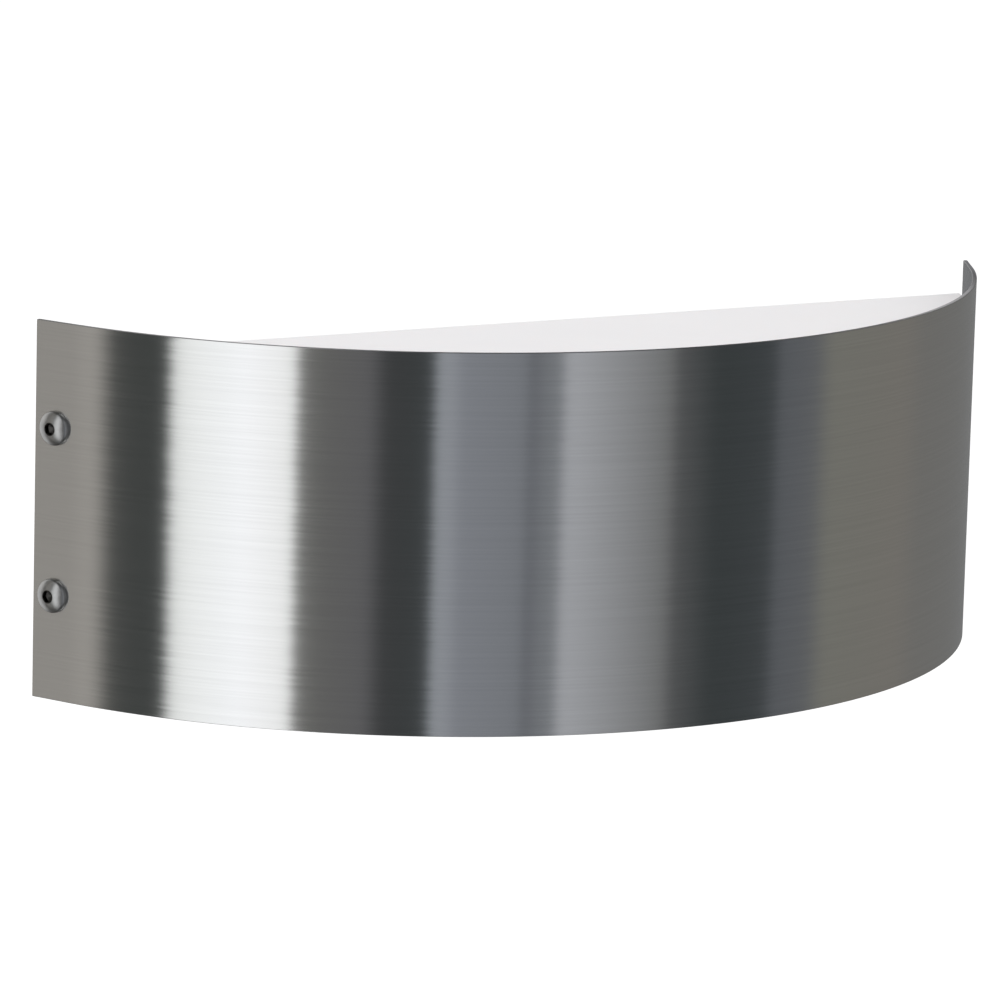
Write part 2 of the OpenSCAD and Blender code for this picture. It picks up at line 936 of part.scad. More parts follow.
module driver_lead_hole(side, row) {
  translate([driver_mid_x + side * driver_l / 2, driver_mid_y + row * row_pitch, driver_lead_z])
    rotate([0, 90, 0])
      cylinder(h = 2 * driver_hole, d = lead_d + screw_play, center = true);
}

module driver_screws() {
  color("#a9abad")
    at_driver_ears()
      translate([0, 0, -shelf_in + ear_t])
        pan_screw(m3_d, ear_t + channel_t - m3_short);
}

module at_poles() {
  for (pole = [-1, 0, 1])
    translate([block_mid_x + pole * pole_pitch, block_mid_y, -shelf_in])
      children();
}

// The block's two fixing screws stand in the webs between the poles
module at_block_screws() {
  for (side = [-1, 1])
    translate([block_mid_x + side * pole_pitch / 2, block_mid_y, 0])
      children();
}

// Mains terminals: a clamp channel under two screw towers for each pole, on a common web
module terminal_block() {
  sleeve_d = clamp_d + 2 * block_wall;
  web_w = block_w * 0.6;
  color("#e9e9e4")
    difference() {
      union() {
        translate([block_mid_x - 1.5 * pole_pitch, block_mid_y - web_w / 2, -shelf_in])
          cube([3 * pole_pitch, web_w, block_web_h]);
        at_poles() {
          translate([-sleeve_d / 2, -block_w / 2, 0])
            cube([sleeve_d, block_w, clamp_z + sleeve_d / 2]);
          for (y = [-1, 1] * tower_gap / 2)
            translate([0, y, 0])
              cylinder(h = block_h, d = sleeve_d);
        }
      }
      at_poles() {
        translate([0, 0, clamp_z])
          rotate([90, 0, 0])
            cylinder(h = block_w + 2 * over, d = clamp_d + thread_play, center = true);
        for (y = [-1, 1] * tower_gap / 2)
          translate([0, y, clamp_z])
            cylinder(h = block_h, d = clamp_screw_d + thread_play);
      }
      at_block_screws()
        translate([0, 0, -shelf_in]) {
          translate([0, 0, -over])
            cylinder(h = block_h, d = m3_d + screw_play);
          translate([0, 0, block_web_h])
            cylinder(h = block_h, d = pan_head * m3_d + screw_play);
        }
    }
}

module terminal_clamps() {
  color("#c9a758")
    at_poles()
      clamp();
}

// Brass sleeve with two slotted screws, one over each wire end
module clamp() {
  screw_top = block_h - 2;
  slot = 0.8;
  difference() {
    union() {
      translate([0, 0, clamp_z])
        rotate([90, 0, 0])
          cylinder(h = clamp_l, d = clamp_d, center = true);
      for (y = [-1, 1] * tower_gap / 2)
        translate([0, y, clamp_z])
          cylinder(h = screw_top - clamp_z, d = clamp_screw_d);
    }
    for (side = [-1, 1])
      translate([0, side * clamp_l / 2, clamp_z])
        rotate([90, 0, 0])
          cylinder(h = 2 * clamp_hole, d = lead_d + screw_play, center = true);
    for (y = [-1, 1] * tower_gap / 2)
      translate([-clamp_d / 2, y - slot / 2, screw_top - slot])
        cube([clamp_d, slot, slot + over]);
  }
}

module terminal_screws() {
  color("#a9abad")
    at_block_screws()
      translate([0, 0, block_web_h - shelf_in])
        pan_screw(m3_d, block_web_h + channel_t - m3_short);
}

// Earth connection on the web: a screw over a ring tag over a toothed washer
module earth_screw() {
  color("#c7b36a")
    at_earth_screw()
      translate([0, 0, web_front + 2 * tag_t])
        pan_screw(m4_d, m4_l);
}

module earth_washer() {
  washer_d = pan_head * m4_d;
  notch_d = 0.9;
  color("#b5b7b8")
    at_earth_screw()
      translate([0, 0, web_front])
        difference() {
          cylinder(h = tag_t, d = washer_d);
          translate([0, 0, -over])
            cylinder(h = tag_t + 2 * over, d = m4_d + screw_play);
          for (i = [0 : washer_teeth - 1])
            rotate([0, 0, i * 360 / washer_teeth])
              translate([washer_d / 2, 0, -over])
                cylinder(h = tag_t + 2 * over, d = notch_d);
        }
}

// Ring tag whose crimp barrel is bent square to the ring, so it points away from the wall
module earth_tag() {
  barrel_y = -(tag_d + barrel_d) / 2;
  color("#c8ccce")
    at_earth_screw()
      translate([0, 0, web_front + tag_t])
        difference() {
          union() {
            cylinder(h = tag_t, d = tag_d);
            translate([-barrel_d / 2, barrel_y, 0])
              cube([barrel_d, barrel_d, tag_t]);
            translate([0, barrel_y, 0])
              cylinder(h = barrel_l, d = barrel_d);
          }
          translate([0, 0, -over])
            cylinder(h = tag_t + 2 * over, d = m4_d + screw_play);
          translate([0, barrel_y, barrel_l / 2])
            cylinder(h = barrel_l, d = lead_d + screw_play);
        }
}

function unit(v) = v / norm(v);

// Point on a smooth curve between p1 and p2, at the share s of the way
function curve_point(p0, p1, p2, p3, s) =
  0.5 * (2 * p1 + (p2 - p0) * s + (2 * p0 - 5 * p1 + 4 * p2 - p3) * s * s
         + (3 * p1 - p0 - 3 * p2 + p3) * s * s * s);

// Smooth curve through all points of a route
function smooth(route) =
  let (last = len(route) - 1)
  [
    for (i = [0 : last - 1], s = [0 : lead_steps - 1])
      curve_point(route[max(i - 1, 0)], route[i], route[i + 1], route[min(i + 2, last)], s / lead_steps),
    route[last]
  ];

// Direction of travel at point i of a line
function heading(line, i) = unit(line[min(i + 1, len(line) - 1)] - line[max(i - 1, 0)]);

// Sideways directions along a line, each turned as little as possible from the one before
function sideways(line, i, before) =
  i == len(line) ? [] :
  let (
    along = heading(line, i),
    side = unit(before - (before * along) * along)
  )
  concat([side], sideways(line, i + 1, side));

// Insulated lead along a route that starts out level
module lead(route) {
  line = smooth(route);
  sides = sideways(line, 0, [0, 0, 1]);
  n = lead_sides;
  rings = len(line);
  points = [
    for (i = [0 : rings - 1], k = [0 : n - 1])
      let (up = cross(heading(line, i), sides[i]), turn = 360 * k / n)
      line[i] + lead_d / 2 * (cos(turn) * sides[i] + sin(turn) * up)
  ];
  tube = [
    for (i = [0 : rings - 2], k = [0 : n - 1])
      each [
        [i * n + k, (i + 1) * n + k, (i + 1) * n + (k + 1) % n],
        [i * n + k, (i + 1) * n + (k + 1) % n, i * n + (k + 1) % n]
      ]
  ];
  caps = [
    [for (k = [0 : n - 1]) k],
    [for (k = [n - 1 : -1 : 0]) (rings - 1) * n + k]
  ];
  polyhedron(points, concat(tube, caps));
}

// Where the leads end: in the front of the clamps, and in the driver's two end faces
function pole_end(pole) =
  [block_mid_x + pole * pole_pitch, block_mid_y - clamp_l / 2 + clamp_hole, clamp_z - shelf_in];
function driver_end(side, row) =
  [driver_mid_x + side * (driver_l / 2 - driver_hole), driver_mid_y + row * row_pitch, driver_lead_z];

// Point beside a board, along and across from the middle of its connector
function by_connector(along, across) =
  let (a = connector_angle, r = board_mid_r)
  [
    r * sin(a) + along * cos(a) + across * sin(a),
    axis_y - r * cos(a) + along * sin(a) - across * cos(a),
    board_top + connector_h / 2
  ];

// Lead from a pole, bowed forwards round the cable entry, to the near end of the driver
module supply_lead(pole, row, bow) {
  from = pole_end(pole);
  to = driver_end(-1, row);
  front = from[1] - bow;
  b = lead_bend;
  lead([
    from, from - [0, clamp_hole + 0.4 * b, 0], from - [0, clamp_hole + 0.8 * b, 0],
    [from[0] + 0.3 * b, front + 0.4 * b, from[2]], [from[0] + 1.2 * b, front, from[2]],
    [to[0] - 5 * b, front + 0.2 * b, (from[2] + to[2]) / 2], to - [driver_hole + 2 * b, b, 0.2 * b],
    to - [driver_hole + 0.8 * b, 0, 0], to - [driver_hole + 0.2 * b, 0, 0], to
  ]);
}

module live_lead() {
  color("#6b3f22")
    supply_lead(0, -1, 4 * lead_bend);
}

module neutral_lead() {
  color("#2a5fa8")
    supply_lead(1, 1, 2.5 * lead_bend);
}

module earth_lead() {
  from = pole_end(-1);
  to = [-earth_x, -web_front - tag_t - barrel_l / 2, -(tag_d + barrel_d) / 2];
  b = lead_bend;
  color("#8aa832")
    lead([
      from, from - [0, clamp_hole + 0.4 * b, 0], from - [0, clamp_hole + 0.8 * b, 0],
      from - [0.3 * b, clamp_hole + 1.8 * b, 0], from - [1.2 * b, clamp_hole + 2.3 * b, 0],
      to - [-0.5 * b, barrel_l + 2.8 * b, 0], to - [0, barrel_l + b, 0], to - [0, barrel_l, 0], to
    ]);
}

// Pair of leads from the driver's far end, up through a shelf and on to the board's connector.
// The two keep side by side: one on the side 1 and one on the side -1 of the pair's own path.
module board_leads(rows, level) {
  b = lead_bend;
  mouth = connector_l / 2;
  for (i = [0, 1]) {
    side = 1 - 2 * i;
    start = driver_end(1, rows[i]);
    from = [start[0], start[1], level];
    hole = [lead_hole[0], lead_hole[1], shelf_in] - side * lead_d / 2 * [1, 1, 0];
    across = side * connector_w / 4;
    color("#e9e8e4")
      lead([
        from, from + [driver_hole + 0.2 * b, 0, 0], from + [driver_hole + 0.8 * b, 0, 0],
        hole, hole + [-0.2 * b, 0.3 * b, b], by_connector(mouth + 2 * b - 0.55 * across, 0.8 * across),
        by_connector(mouth + 0.8 * b, across), by_connector(mouth + 0.2 * b, across), by_connector(0, across)
      ]);
  }
}

module upper_board_leads() {
  board_leads([board_rows[2], board_rows[3]], driver_lead_z);
}

module lower_board_leads() {
  mirror([0, 0, 1])
    board_leads([board_rows[0], board_rows[1]], -driver_lead_z);
}

shield();
shield_screws();
wall_base();
wall_gasket();
cable_grommet();
led_carrier();
carrier_screws();
upper_diffuser();
lower_diffuser();
upper_seal();
lower_seal();
diffuser_screws();
upper_led_board();
lower_led_board();
upper_led_chips();
lower_led_chips();
board_screws();
board_connectors();
driver_case();
driver_cover();
driver_screws();
terminal_block();
terminal_clamps();
terminal_screws();
earth_screw();
earth_washer();
earth_tag();
live_lead();
neutral_lead();
earth_lead();
upper_board_leads();
lower_board_leads();
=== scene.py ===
import math

import bmesh
import bpy
from mathutils import Matrix, Vector


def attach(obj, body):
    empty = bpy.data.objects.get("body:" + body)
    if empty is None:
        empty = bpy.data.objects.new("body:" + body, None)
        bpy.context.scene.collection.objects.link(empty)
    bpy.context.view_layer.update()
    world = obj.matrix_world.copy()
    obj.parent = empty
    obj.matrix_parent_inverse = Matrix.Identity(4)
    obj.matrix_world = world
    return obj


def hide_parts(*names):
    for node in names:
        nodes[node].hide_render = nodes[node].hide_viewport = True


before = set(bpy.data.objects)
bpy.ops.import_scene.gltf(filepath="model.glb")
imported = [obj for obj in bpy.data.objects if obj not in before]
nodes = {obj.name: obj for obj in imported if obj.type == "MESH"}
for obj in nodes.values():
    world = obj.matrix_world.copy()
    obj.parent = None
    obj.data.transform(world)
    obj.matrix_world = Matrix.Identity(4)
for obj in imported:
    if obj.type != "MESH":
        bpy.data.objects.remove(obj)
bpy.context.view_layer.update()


# The wall base is one aluminium pressure casting, tumbled after the die and left bare. It is seen
# from behind, with its slots, its cable hole and the groove that the foam strip lies in.
def linear(hex_colour):
    """Linear RGBA of an sRGB hex colour."""
    parts = [int(hex_colour[i : i + 2], 16) / 255 for i in (1, 3, 5)]
    return [c / 12.92 if c <= 0.04045 else ((c + 0.055) / 1.055) ** 2.4 for c in parts] + [1.0]


def add(tree, kind, sockets=None, **settings):
    """One more node, with its own settings, and the values or links of its sockets."""
    made = tree.nodes.new(kind)
    for name, value in settings.items():
        setattr(made, name, value)
    for name, value in (sockets or {}).items():
        if isinstance(value, bpy.types.NodeSocket):
            tree.links.new(value, made.inputs[name])
        else:
            made.inputs[name].default_value = value
    return made


def start_finish(name, **shader_values):
    """A new material with a Principled shader, its node tree, and the place on the piece in metres."""
    finish = bpy.data.materials.new(name)
    finish.use_nodes = True
    tree = finish.node_tree
    tree.nodes.clear()
    sockets = {socket.replace("_", " "): value for socket, value in shader_values.items()}
    shader = add(tree, "ShaderNodeBsdfPrincipled", sockets)
    add(tree, "ShaderNodeOutputMaterial", {"Surface": shader.outputs["BSDF"]})
    place = add(tree, "ShaderNodeTexCoord").outputs["Object"]
    return finish, tree, shader, place


def settle(piece):
    """Turns the piece's modifiers into its mesh."""
    graph = bpy.context.evaluated_depsgraph_get()
    mesh = bpy.data.meshes.new_from_object(piece.evaluated_get(graph))
    piece.modifiers.clear()
    piece.data = mesh


# Points nearer than this in metres are one, and so are faces nearer in slope than this in degrees
SAME_POINT = 2e-6
SAME_PLANE = 0.4


def eased(node_name, width, steps=2, sharp=35, chosen=None):
    """A finer copy of a CAD node: flat faces made whole, and its sharp edges rounded to width metres."""
    mesh = nodes[node_name].data.copy()
    mesh.name = node_name
    mesh.materials.clear()
    work = bmesh.new()
    work.from_mesh(mesh)
    bmesh.ops.remove_doubles(work, verts=work.verts, dist=SAME_POINT)
    bmesh.ops.dissolve_limit(
        work,
        angle_limit=math.radians(SAME_PLANE),
        verts=work.verts,
        edges=work.edges,
        delimit={"NORMAL"},
    )
    edges = [
        e
        for e in work.edges
        if len(e.link_faces) == 2
        and e.calc_face_angle(0) > math.radians(sharp)
        and (chosen is None or chosen(e))
    ]
    bmesh.ops.bevel(
        work, geom=edges, offset=width, segments=steps, profile=0.5, affect="EDGES", clamp_overlap=True
    )
    work.to_mesh(mesh)
    work.free()
    return place_piece(mesh, node_name + "_finished")


def smooth_out(piece, smooth=30):
    """Shades a piece smooth, but for edges sharper than the angle smooth."""
    for face in piece.data.polygons:
        face.use_smooth = True
    piece.data.set_sharp_from_angle(angle=math.radians(smooth))
    weighted = piece.modifiers.new("even_normals", "WEIGHTED_NORMAL")
    weighted.keep_sharp = True
    settle(piece)


def place_piece(mesh, name, smooth=30):
    """An object for a mesh, shaded smooth."""
    piece = bpy.data.objects.new(name, mesh)
    bpy.context.scene.collection.objects.link(piece)
    smooth_out(piece, smooth)
    return piece


SLIVER = 5e-6
ROUND_SIDES = 40


def cut_away(piece, work):
    """Takes the solids in the bmesh work out of a piece, and leaves no slivers at the cuts."""
    mesh = bpy.data.meshes.new("cutter")
    work.to_mesh(mesh)
    work.free()
    cutter = bpy.data.objects.new("cutter", mesh)
    bpy.context.scene.collection.objects.link(cutter)
    cut = piece.modifiers.new("cut", "BOOLEAN")
    cut.object = cutter
    cut.solver = "EXACT"
    settle(piece)
    bpy.data.objects.remove(cutter)
    work = bmesh.new()
    work.from_mesh(piece.data)
    bmesh.ops.remove_doubles(work, verts=work.verts, dist=SLIVER)
    bmesh.ops.dissolve_degenerate(work, edges=work.edges, dist=SLIVER)
    work.to_mesh(piece.data)
    work.free()


def stand_for(piece, finish, slot, *node_names):
    """Gives a piece its material, puts it in place of the CAD nodes, and lets it ride. The slot is not
    used.
    """
    piece.data.materials.clear()
    piece.data.materials.append(finish)
    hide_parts(*node_names)
    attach(piece, "root")


# Tumbled casting: a pale dull grey with a fine grain, and cloudy marks where the metal flowed
cast_aluminium, tree, shader, place = start_finish("die_cast_aluminium", Metallic=1.0)
GRAIN = 0.0011
FLOW = 0.022
CAST_EDGE = 0.0004
grain = add(tree, "ShaderNodeTexNoise", {"Vector": place, "Scale": 1 / GRAIN, "Detail": 2.0})
flow = add(
    tree, "ShaderNodeTexNoise", {"Vector": place, "Scale": 1 / FLOW, "Detail": 4.0, "Distortion": 1.5}
)
tone = add(
    tree,
    "ShaderNodeMix",
    {0: flow.outputs["Fac"], 6: linear("#b4b6b9"), 7: linear("#cfd1d3")},
    data_type="RGBA",
)
dull = add(tree, "ShaderNodeMapRange", {"Value": flow.outputs["Fac"], "To Min": 0.42, "To Max": 0.6})
relief = add(
    tree, "ShaderNodeBump", {"Height": grain.outputs["Fac"], "Strength": 0.35, "Distance": 0.00015}
)
tree.links.new(tone.outputs[2], shader.inputs["Base Color"])
tree.links.new(dull.outputs["Result"], shader.inputs["Roughness"])
tree.links.new(relief.outputs["Normal"], shader.inputs["Normal"])
base = eased("wall_base", CAST_EDGE)

# The die's ejector pins have left six shallow round marks in the back
PIN_R = 0.004
PIN_MARK = 0.0004
PIN_LENGTH = 0.002
PIN_PLACES = ((-0.108, 0), (-0.06, -0.021), (-0.06, 0.021), (0.06, -0.021), (0.06, 0.021), (0.108, 0))
work = bmesh.new()
for x, z in PIN_PLACES:
    pin_at = Matrix.Translation((x, PIN_LENGTH / 2 - PIN_MARK, z))
    bmesh.ops.create_cone(
        work,
        cap_ends=True,
        segments=ROUND_SIDES,
        radius1=PIN_R,
        radius2=PIN_R,
        depth=PIN_LENGTH,
        matrix=pin_at @ Matrix.Rotation(math.radians(90), 4, "X"),
    )
cut_away(base, work)
smooth_out(base)
stand_for(base, cast_aluminium, "cast_aluminium", "wall_base")


# The gasket is a strip of closed-cell foam rubber, cut as one ring and pressed into the base's
# groove, where it seals against the wall. It shows a dark dull skin with fine open cells.
def finish_nodes(finish, *node_names):
    """Gives CAD nodes that stay as they are their material."""
    for name in node_names:
        nodes[name].data.materials.clear()
        nodes[name].data.materials.append(finish)


foam, tree, shader, place = start_finish("closed_cell_foam", Roughness=0.92)
CELL = 0.0009
cells = add(tree, "ShaderNodeTexVoronoi", {"Vector": place, "Scale": 1 / CELL})
tone = add(
    tree,
    "ShaderNodeMix",
    {0: cells.outputs["Distance"], 6: linear("#1b1b1d"), 7: linear("#38393c")},
    data_type="RGBA",
)
relief = add(
    tree, "ShaderNodeBump", {"Height": cells.outputs["Distance"], "Strength": 0.6, "Distance": 0.0002}
)
tree.links.new(tone.outputs[2], shader.inputs["Base Color"])
tree.links.new(relief.outputs["Normal"], shader.inputs["Normal"])
finish_nodes(foam, "wall_gasket")


# The grommet is moulded in black rubber and pushed through the base's hole, where its two lips
# hold it. The cable goes through its nose. It has a satin skin with a faint grey bloom.
rubber, tree, shader, place = start_finish("moulded_rubber", Roughness=0.55)
BLOOM = 0.006
SKIN = 0.0006
LIP_EDGE = 0.0003
bloom = add(tree, "ShaderNodeTexNoise", {"Vector": place, "Scale": 1 / BLOOM, "Detail": 4.0})
skin = add(tree, "ShaderNodeTexNoise", {"Vector": place, "Scale": 1 / SKIN, "Detail": 1.0})
tone = add(
    tree,
    "ShaderNodeMix",
    {0: bloom.outputs["Fac"], 6: linear("#18181a"), 7: linear("#343537")},
    data_type="RGBA",
)
relief = add(tree, "ShaderNodeBump", {"Height": skin.outputs["Fac"], "Strength": 0.3, "Distance": 0.0001})
tree.links.new(tone.outputs[2], shader.inputs["Base Color"])
tree.links.new(relief.outputs["Normal"], shader.inputs["Normal"])
grommet = eased("cable_grommet", LIP_EDGE)
stand_for(grommet, rubber, "grommet_rubber", "cable_grommet")


# The carrier is a channel folded from 2 mm aluminium sheet with its mill finish. Rolling has left
# it with long fine lines along the width, and a soft sheen across them.
mill_sheet, tree, shader, place = start_finish("mill_finish_aluminium", Metallic=1.0, Anisotropic=0.5)
LINE_LENGTH = 0.09
LINE_WIDTH = 0.0006
SHEARED_EDGE = 0.0002
stretched = add(
    tree,
    "ShaderNodeMapping",
    {"Vector": place, "Scale": (1 / LINE_LENGTH, 1 / LINE_WIDTH, 1 / LINE_WIDTH)},
)
lines = add(
    tree, "ShaderNodeTexNoise", {"Vector": stretched.outputs["Vector"], "Scale": 1.0, "Detail": 2.0}
)
tone = add(
    tree,
    "ShaderNodeMix",
    {0: lines.outputs["Fac"], 6: linear("#c6c8ca"), 7: linear("#dcdee0")},
    data_type="RGBA",
)
dull = add(tree, "ShaderNodeMapRange", {"Value": lines.outputs["Fac"], "To Min": 0.26, "To Max": 0.42})
tree.links.new(tone.outputs[2], shader.inputs["Base Color"])
tree.links.new(dull.outputs["Result"], shader.inputs["Roughness"])
carrier = eased("led_carrier", SHEARED_EDGE, steps=1)
stand_for(carrier, mill_sheet, "sheet_aluminium", "led_carrier")


# The small screws are steel with a bright zinc plating, cool and slightly cloudy. They hold the
# channel, the boards, the driver, the terminals and, from inside the channel, the diffusers.
zinc, tree, shader, place = start_finish("bright_zinc_plate", Metallic=1.0)
CLOUD = 0.0015
cloud = add(tree, "ShaderNodeTexNoise", {"Vector": place, "Scale": 1 / CLOUD, "Detail": 3.0})
tone = add(
    tree,
    "ShaderNodeMix",
    {0: cloud.outputs["Fac"], 6: linear("#a9adb3"), 7: linear("#cdd0d4")},
    data_type="RGBA",
)
dull = add(tree, "ShaderNodeMapRange", {"Value": cloud.outputs["Fac"], "To Min": 0.22, "To Max": 0.4})
tree.links.new(tone.outputs[2], shader.inputs["Base Color"])
tree.links.new(dull.outputs["Result"], shader.inputs["Roughness"])
finish_nodes(
    zinc, "carrier_screws", "diffuser_screws", "board_screws", "driver_screws", "terminal_screws",
    "earth_washer",
)


# Each board is an aluminium plate with a white solder mask, screwed flat to its shelf. Fine copper
# tracks run under the mask and lift it a little between the chips.
solder_mask, tree, shader, place = start_finish("white_solder_mask", Roughness=0.38, Coat_Weight=0.2)
TRACK = 0.004
TRACK_GAP = TRACK / 14
cells = add(
    tree,
    "ShaderNodeTexBrick",
    {
        "Vector": place,
        "Scale": 1.0,
        "Mortar Size": TRACK_GAP,
        "Brick Width": TRACK,
        "Row Height": TRACK / 2,
        "Color1": linear("#eceeec"),
        "Color2": linear("#e4e7e5"),
        "Mortar": linear("#d3d8d4"),
    },
)
relief = add(
    tree, "ShaderNodeBump", {"Height": cells.outputs["Fac"], "Strength": 0.4, "Distance": 0.00004},
    invert=True,
)
tree.links.new(cells.outputs["Color"], shader.inputs["Base Color"])
tree.links.new(relief.outputs["Normal"], shader.inputs["Normal"])
finish_nodes(solder_mask, "upper_led_board", "lower_led_board")


# The chips are white packages filled with silicone that carries a yellow phosphor. The filling is
# glossy, and its powder gives it a fine speckle.
phosphor, tree, shader, place = start_finish(
    "phosphor_silicone",
    Roughness=0.22,
    Subsurface_Weight=0.2,
    Subsurface_Radius=(0.001, 0.0008, 0.0003),
)
SPECK = 0.0003
specks = add(tree, "ShaderNodeTexNoise", {"Vector": place, "Scale": 1 / SPECK, "Detail": 2.0})
tone = add(
    tree,
    "ShaderNodeMix",
    {0: specks.outputs["Fac"], 6: linear("#e6cf5c"), 7: linear("#f6e79a")},
    data_type="RGBA",
)
tree.links.new(tone.outputs[2], shader.inputs["Base Color"])
finish_nodes(phosphor, "upper_led_chips", "lower_led_chips")


# The push-in connectors, the driver's two shells and the terminal block are moulded. The white
# ones are PBT and polycarbonate with a fine spark-eroded skin, and the block is natural nylon.
PATCH = 0.016


def moulded(name, pale, dark, skin_size, roughness):
    """A moulded plastic: two close tones in large soft patches, and the skin of its mould."""
    finish, tree, shader, place = start_finish(name, Roughness=roughness, IOR=1.55)
    patches = add(tree, "ShaderNodeTexNoise", {"Vector": place, "Scale": 1 / PATCH, "Detail": 2.0})
    skin = add(tree, "ShaderNodeTexNoise", {"Vector": place, "Scale": 1 / skin_size, "Detail": 1.0})
    tone = add(
        tree,
        "ShaderNodeMix",
        {0: patches.outputs["Fac"], 6: linear(dark), 7: linear(pale)},
        data_type="RGBA",
    )
    relief = add(
        tree,
        "ShaderNodeBump",
        {"Height": skin.outputs["Fac"], "Strength": 0.3, "Distance": skin_size / 6},
    )
    tree.links.new(tone.outputs[2], shader.inputs["Base Color"])
    tree.links.new(relief.outputs["Normal"], shader.inputs["Normal"])
    return finish


finish_nodes(moulded("moulded_pbt", "#f4f4f1", "#ecece8", 0.0003, 0.3), "board_connectors")
finish_nodes(
    moulded("moulded_polycarbonate", "#f2f2ef", "#e9e9e6", 0.0007, 0.48), "driver_case", "driver_cover"
)
finish_nodes(moulded("natural_nylon", "#e6e4d8", "#dad7c9", 0.0005, 0.42), "terminal_block")


# The clamps in the terminals are turned brass, and the earth screw is brass too. Turning leaves
# fine rings, too fine to draw, so a soft mottle in the roughness stands for them.
brass, tree, shader, place = start_finish("turned_brass", Metallic=1.0)
MOTTLE = 0.0008
mottle = add(tree, "ShaderNodeTexNoise", {"Vector": place, "Scale": 1 / MOTTLE, "Detail": 3.0})
tone = add(
    tree,
    "ShaderNodeMix",
    {0: mottle.outputs["Fac"], 6: linear("#c9a24c"), 7: linear("#dfc07a")},
    data_type="RGBA",
)
dull = add(tree, "ShaderNodeMapRange", {"Value": mottle.outputs["Fac"], "To Min": 0.2, "To Max": 0.36})
tree.links.new(tone.outputs[2], shader.inputs["Base Color"])
tree.links.new(dull.outputs["Result"], shader.inputs["Roughness"])
finish_nodes(brass, "terminal_clamps", "earth_screw")


# The ring tag is stamped from copper sheet and crimped on the earth lead, under the earth screw. It
# has a dip of tin, which leaves it white, soft and slightly wiped.
tinned, tree, shader, place = start_finish("tinned_copper", Metallic=1.0)
WIPE = 0.002
wiped = add(
    tree, "ShaderNodeTexNoise", {"Vector": place, "Scale": 1 / WIPE, "Detail": 3.0, "Distortion": 1.0}
)
tone = add(
    tree,
    "ShaderNodeMix",
    {0: wiped.outputs["Fac"], 6: linear("#c2c4c4"), 7: linear("#dddedd")},
    data_type="RGBA",
)
dull = add(tree, "ShaderNodeMapRange", {"Value": wiped.outputs["Fac"], "To Min": 0.3, "To Max": 0.5})
tree.links.new(tone.outputs[2], shader.inputs["Base Color"])
tree.links.new(dull.outputs["Result"], shader.inputs["Roughness"])
finish_nodes(tinned, "earth_tag")


# The leads are stranded wire in extruded PVC: brown, blue and green-and-yellow for the mains, and
# white for the boards. The skin is satin and shows a slight lengthwise unevenness.
UNEVEN = 0.0025


def insulation(name, pale, dark):
    """Extruded PVC in two close tones of its colour."""
    finish, tree, shader, place = start_finish(name, Roughness=0.36, IOR=1.53)
    uneven = add(tree, "ShaderNodeTexNoise", {"Vector": place, "Scale": 1 / UNEVEN, "Detail": 2.0})
    tone = add(
        tree,
        "ShaderNodeMix",
        {0: uneven.outputs["Fac"], 6: linear(dark), 7: linear(pale)},
        data_type="RGBA",
    )
    relief = add(
        tree, "ShaderNodeBump", {"Height": uneven.outputs["Fac"], "Strength": 0.3, "Distance": 0.0001}
    )
    tree.links.new(tone.outputs[2], shader.inputs["Base Color"])
    tree.links.new(relief.outputs["Normal"], shader.inputs["Normal"])
    return finish, tree, shader, tone


finish_nodes(insulation("brown_pvc", "#7a4a2c", "#653a20")[0], "live_lead")
finish_nodes(insulation("blue_pvc", "#2f63b0", "#24529a")[0], "neutral_lead")
finish_nodes(insulation("white_pvc", "#ecebe6", "#e2e0da")[0], "upper_board_leads", "lower_board_leads")
# The yellow stripe lies along the upper side of the green lead
earth_pvc, tree, shader, tone = insulation("green_and_yellow_pvc", "#3f8f36", "#35802e")
facing_out = add(tree, "ShaderNodeNewGeometry").outputs["Normal"]
facing = add(tree, "ShaderNodeSeparateXYZ", {"Vector": facing_out})
stripe = add(
    tree, "ShaderNodeMapRange", {"Value": facing.outputs["Z"], "From Min": 0.2, "From Max": 0.3}
)
two_tone = add(
    tree,
    "ShaderNodeMix",
    {0: stripe.outputs["Result"], 6: tone.outputs[2], 7: linear("#e3cf2e")},
    data_type="RGBA",
)
tree.links.new(two_tone.outputs[2], shader.inputs["Base Color"])
finish_nodes(earth_pvc, "earth_lead")


# The diffusers are injection-moulded opal acrylic: a flat plate with a skirt, posts and gussets
# behind it. The opal scatters the light, so the surface is a soft white with a fine satin skin.
opal, tree, shader, place = start_finish(
    "opal_acrylic",
    Roughness=0.42,
    IOR=1.49,
    Subsurface_Weight=0.35,
    Subsurface_Radius=(0.004, 0.0036, 0.0034),
)
SATIN = 0.0008
CLOUDY = 0.05
satin = add(tree, "ShaderNodeTexNoise", {"Vector": place, "Scale": 1 / SATIN, "Detail": 1.0})
cloudy = add(tree, "ShaderNodeTexNoise", {"Vector": place, "Scale": 1 / CLOUDY, "Detail": 2.0})
tone = add(
    tree,
    "ShaderNodeMix",
    {0: cloudy.outputs["Fac"], 6: linear("#eeecee"), 7: linear("#f4f2f3")},
    data_type="RGBA",
)
relief = add(
    tree, "ShaderNodeBump", {"Height": satin.outputs["Fac"], "Strength": 0.12, "Distance": 0.0001}
)
tree.links.new(tone.outputs[2], shader.inputs["Base Color"])
tree.links.new(relief.outputs["Normal"], shader.inputs["Normal"])

# Only edges further than this above or below the middle are rounded: the plate's, not the posts'
ROUNDED_BEYOND = 0.04
PLATE_EDGE = 0.0006


def on_plate(edge):
    """Whether an edge belongs to the plate."""
    return min(abs(v.co.z) for v in edge.verts) > ROUNDED_BEYOND


for name in ("upper_diffuser", "lower_diffuser"):
    plate = eased(name, PLATE_EDGE, steps=3, chosen=on_plate)
    stand_for(plate, opal, "opal_plastic", name)


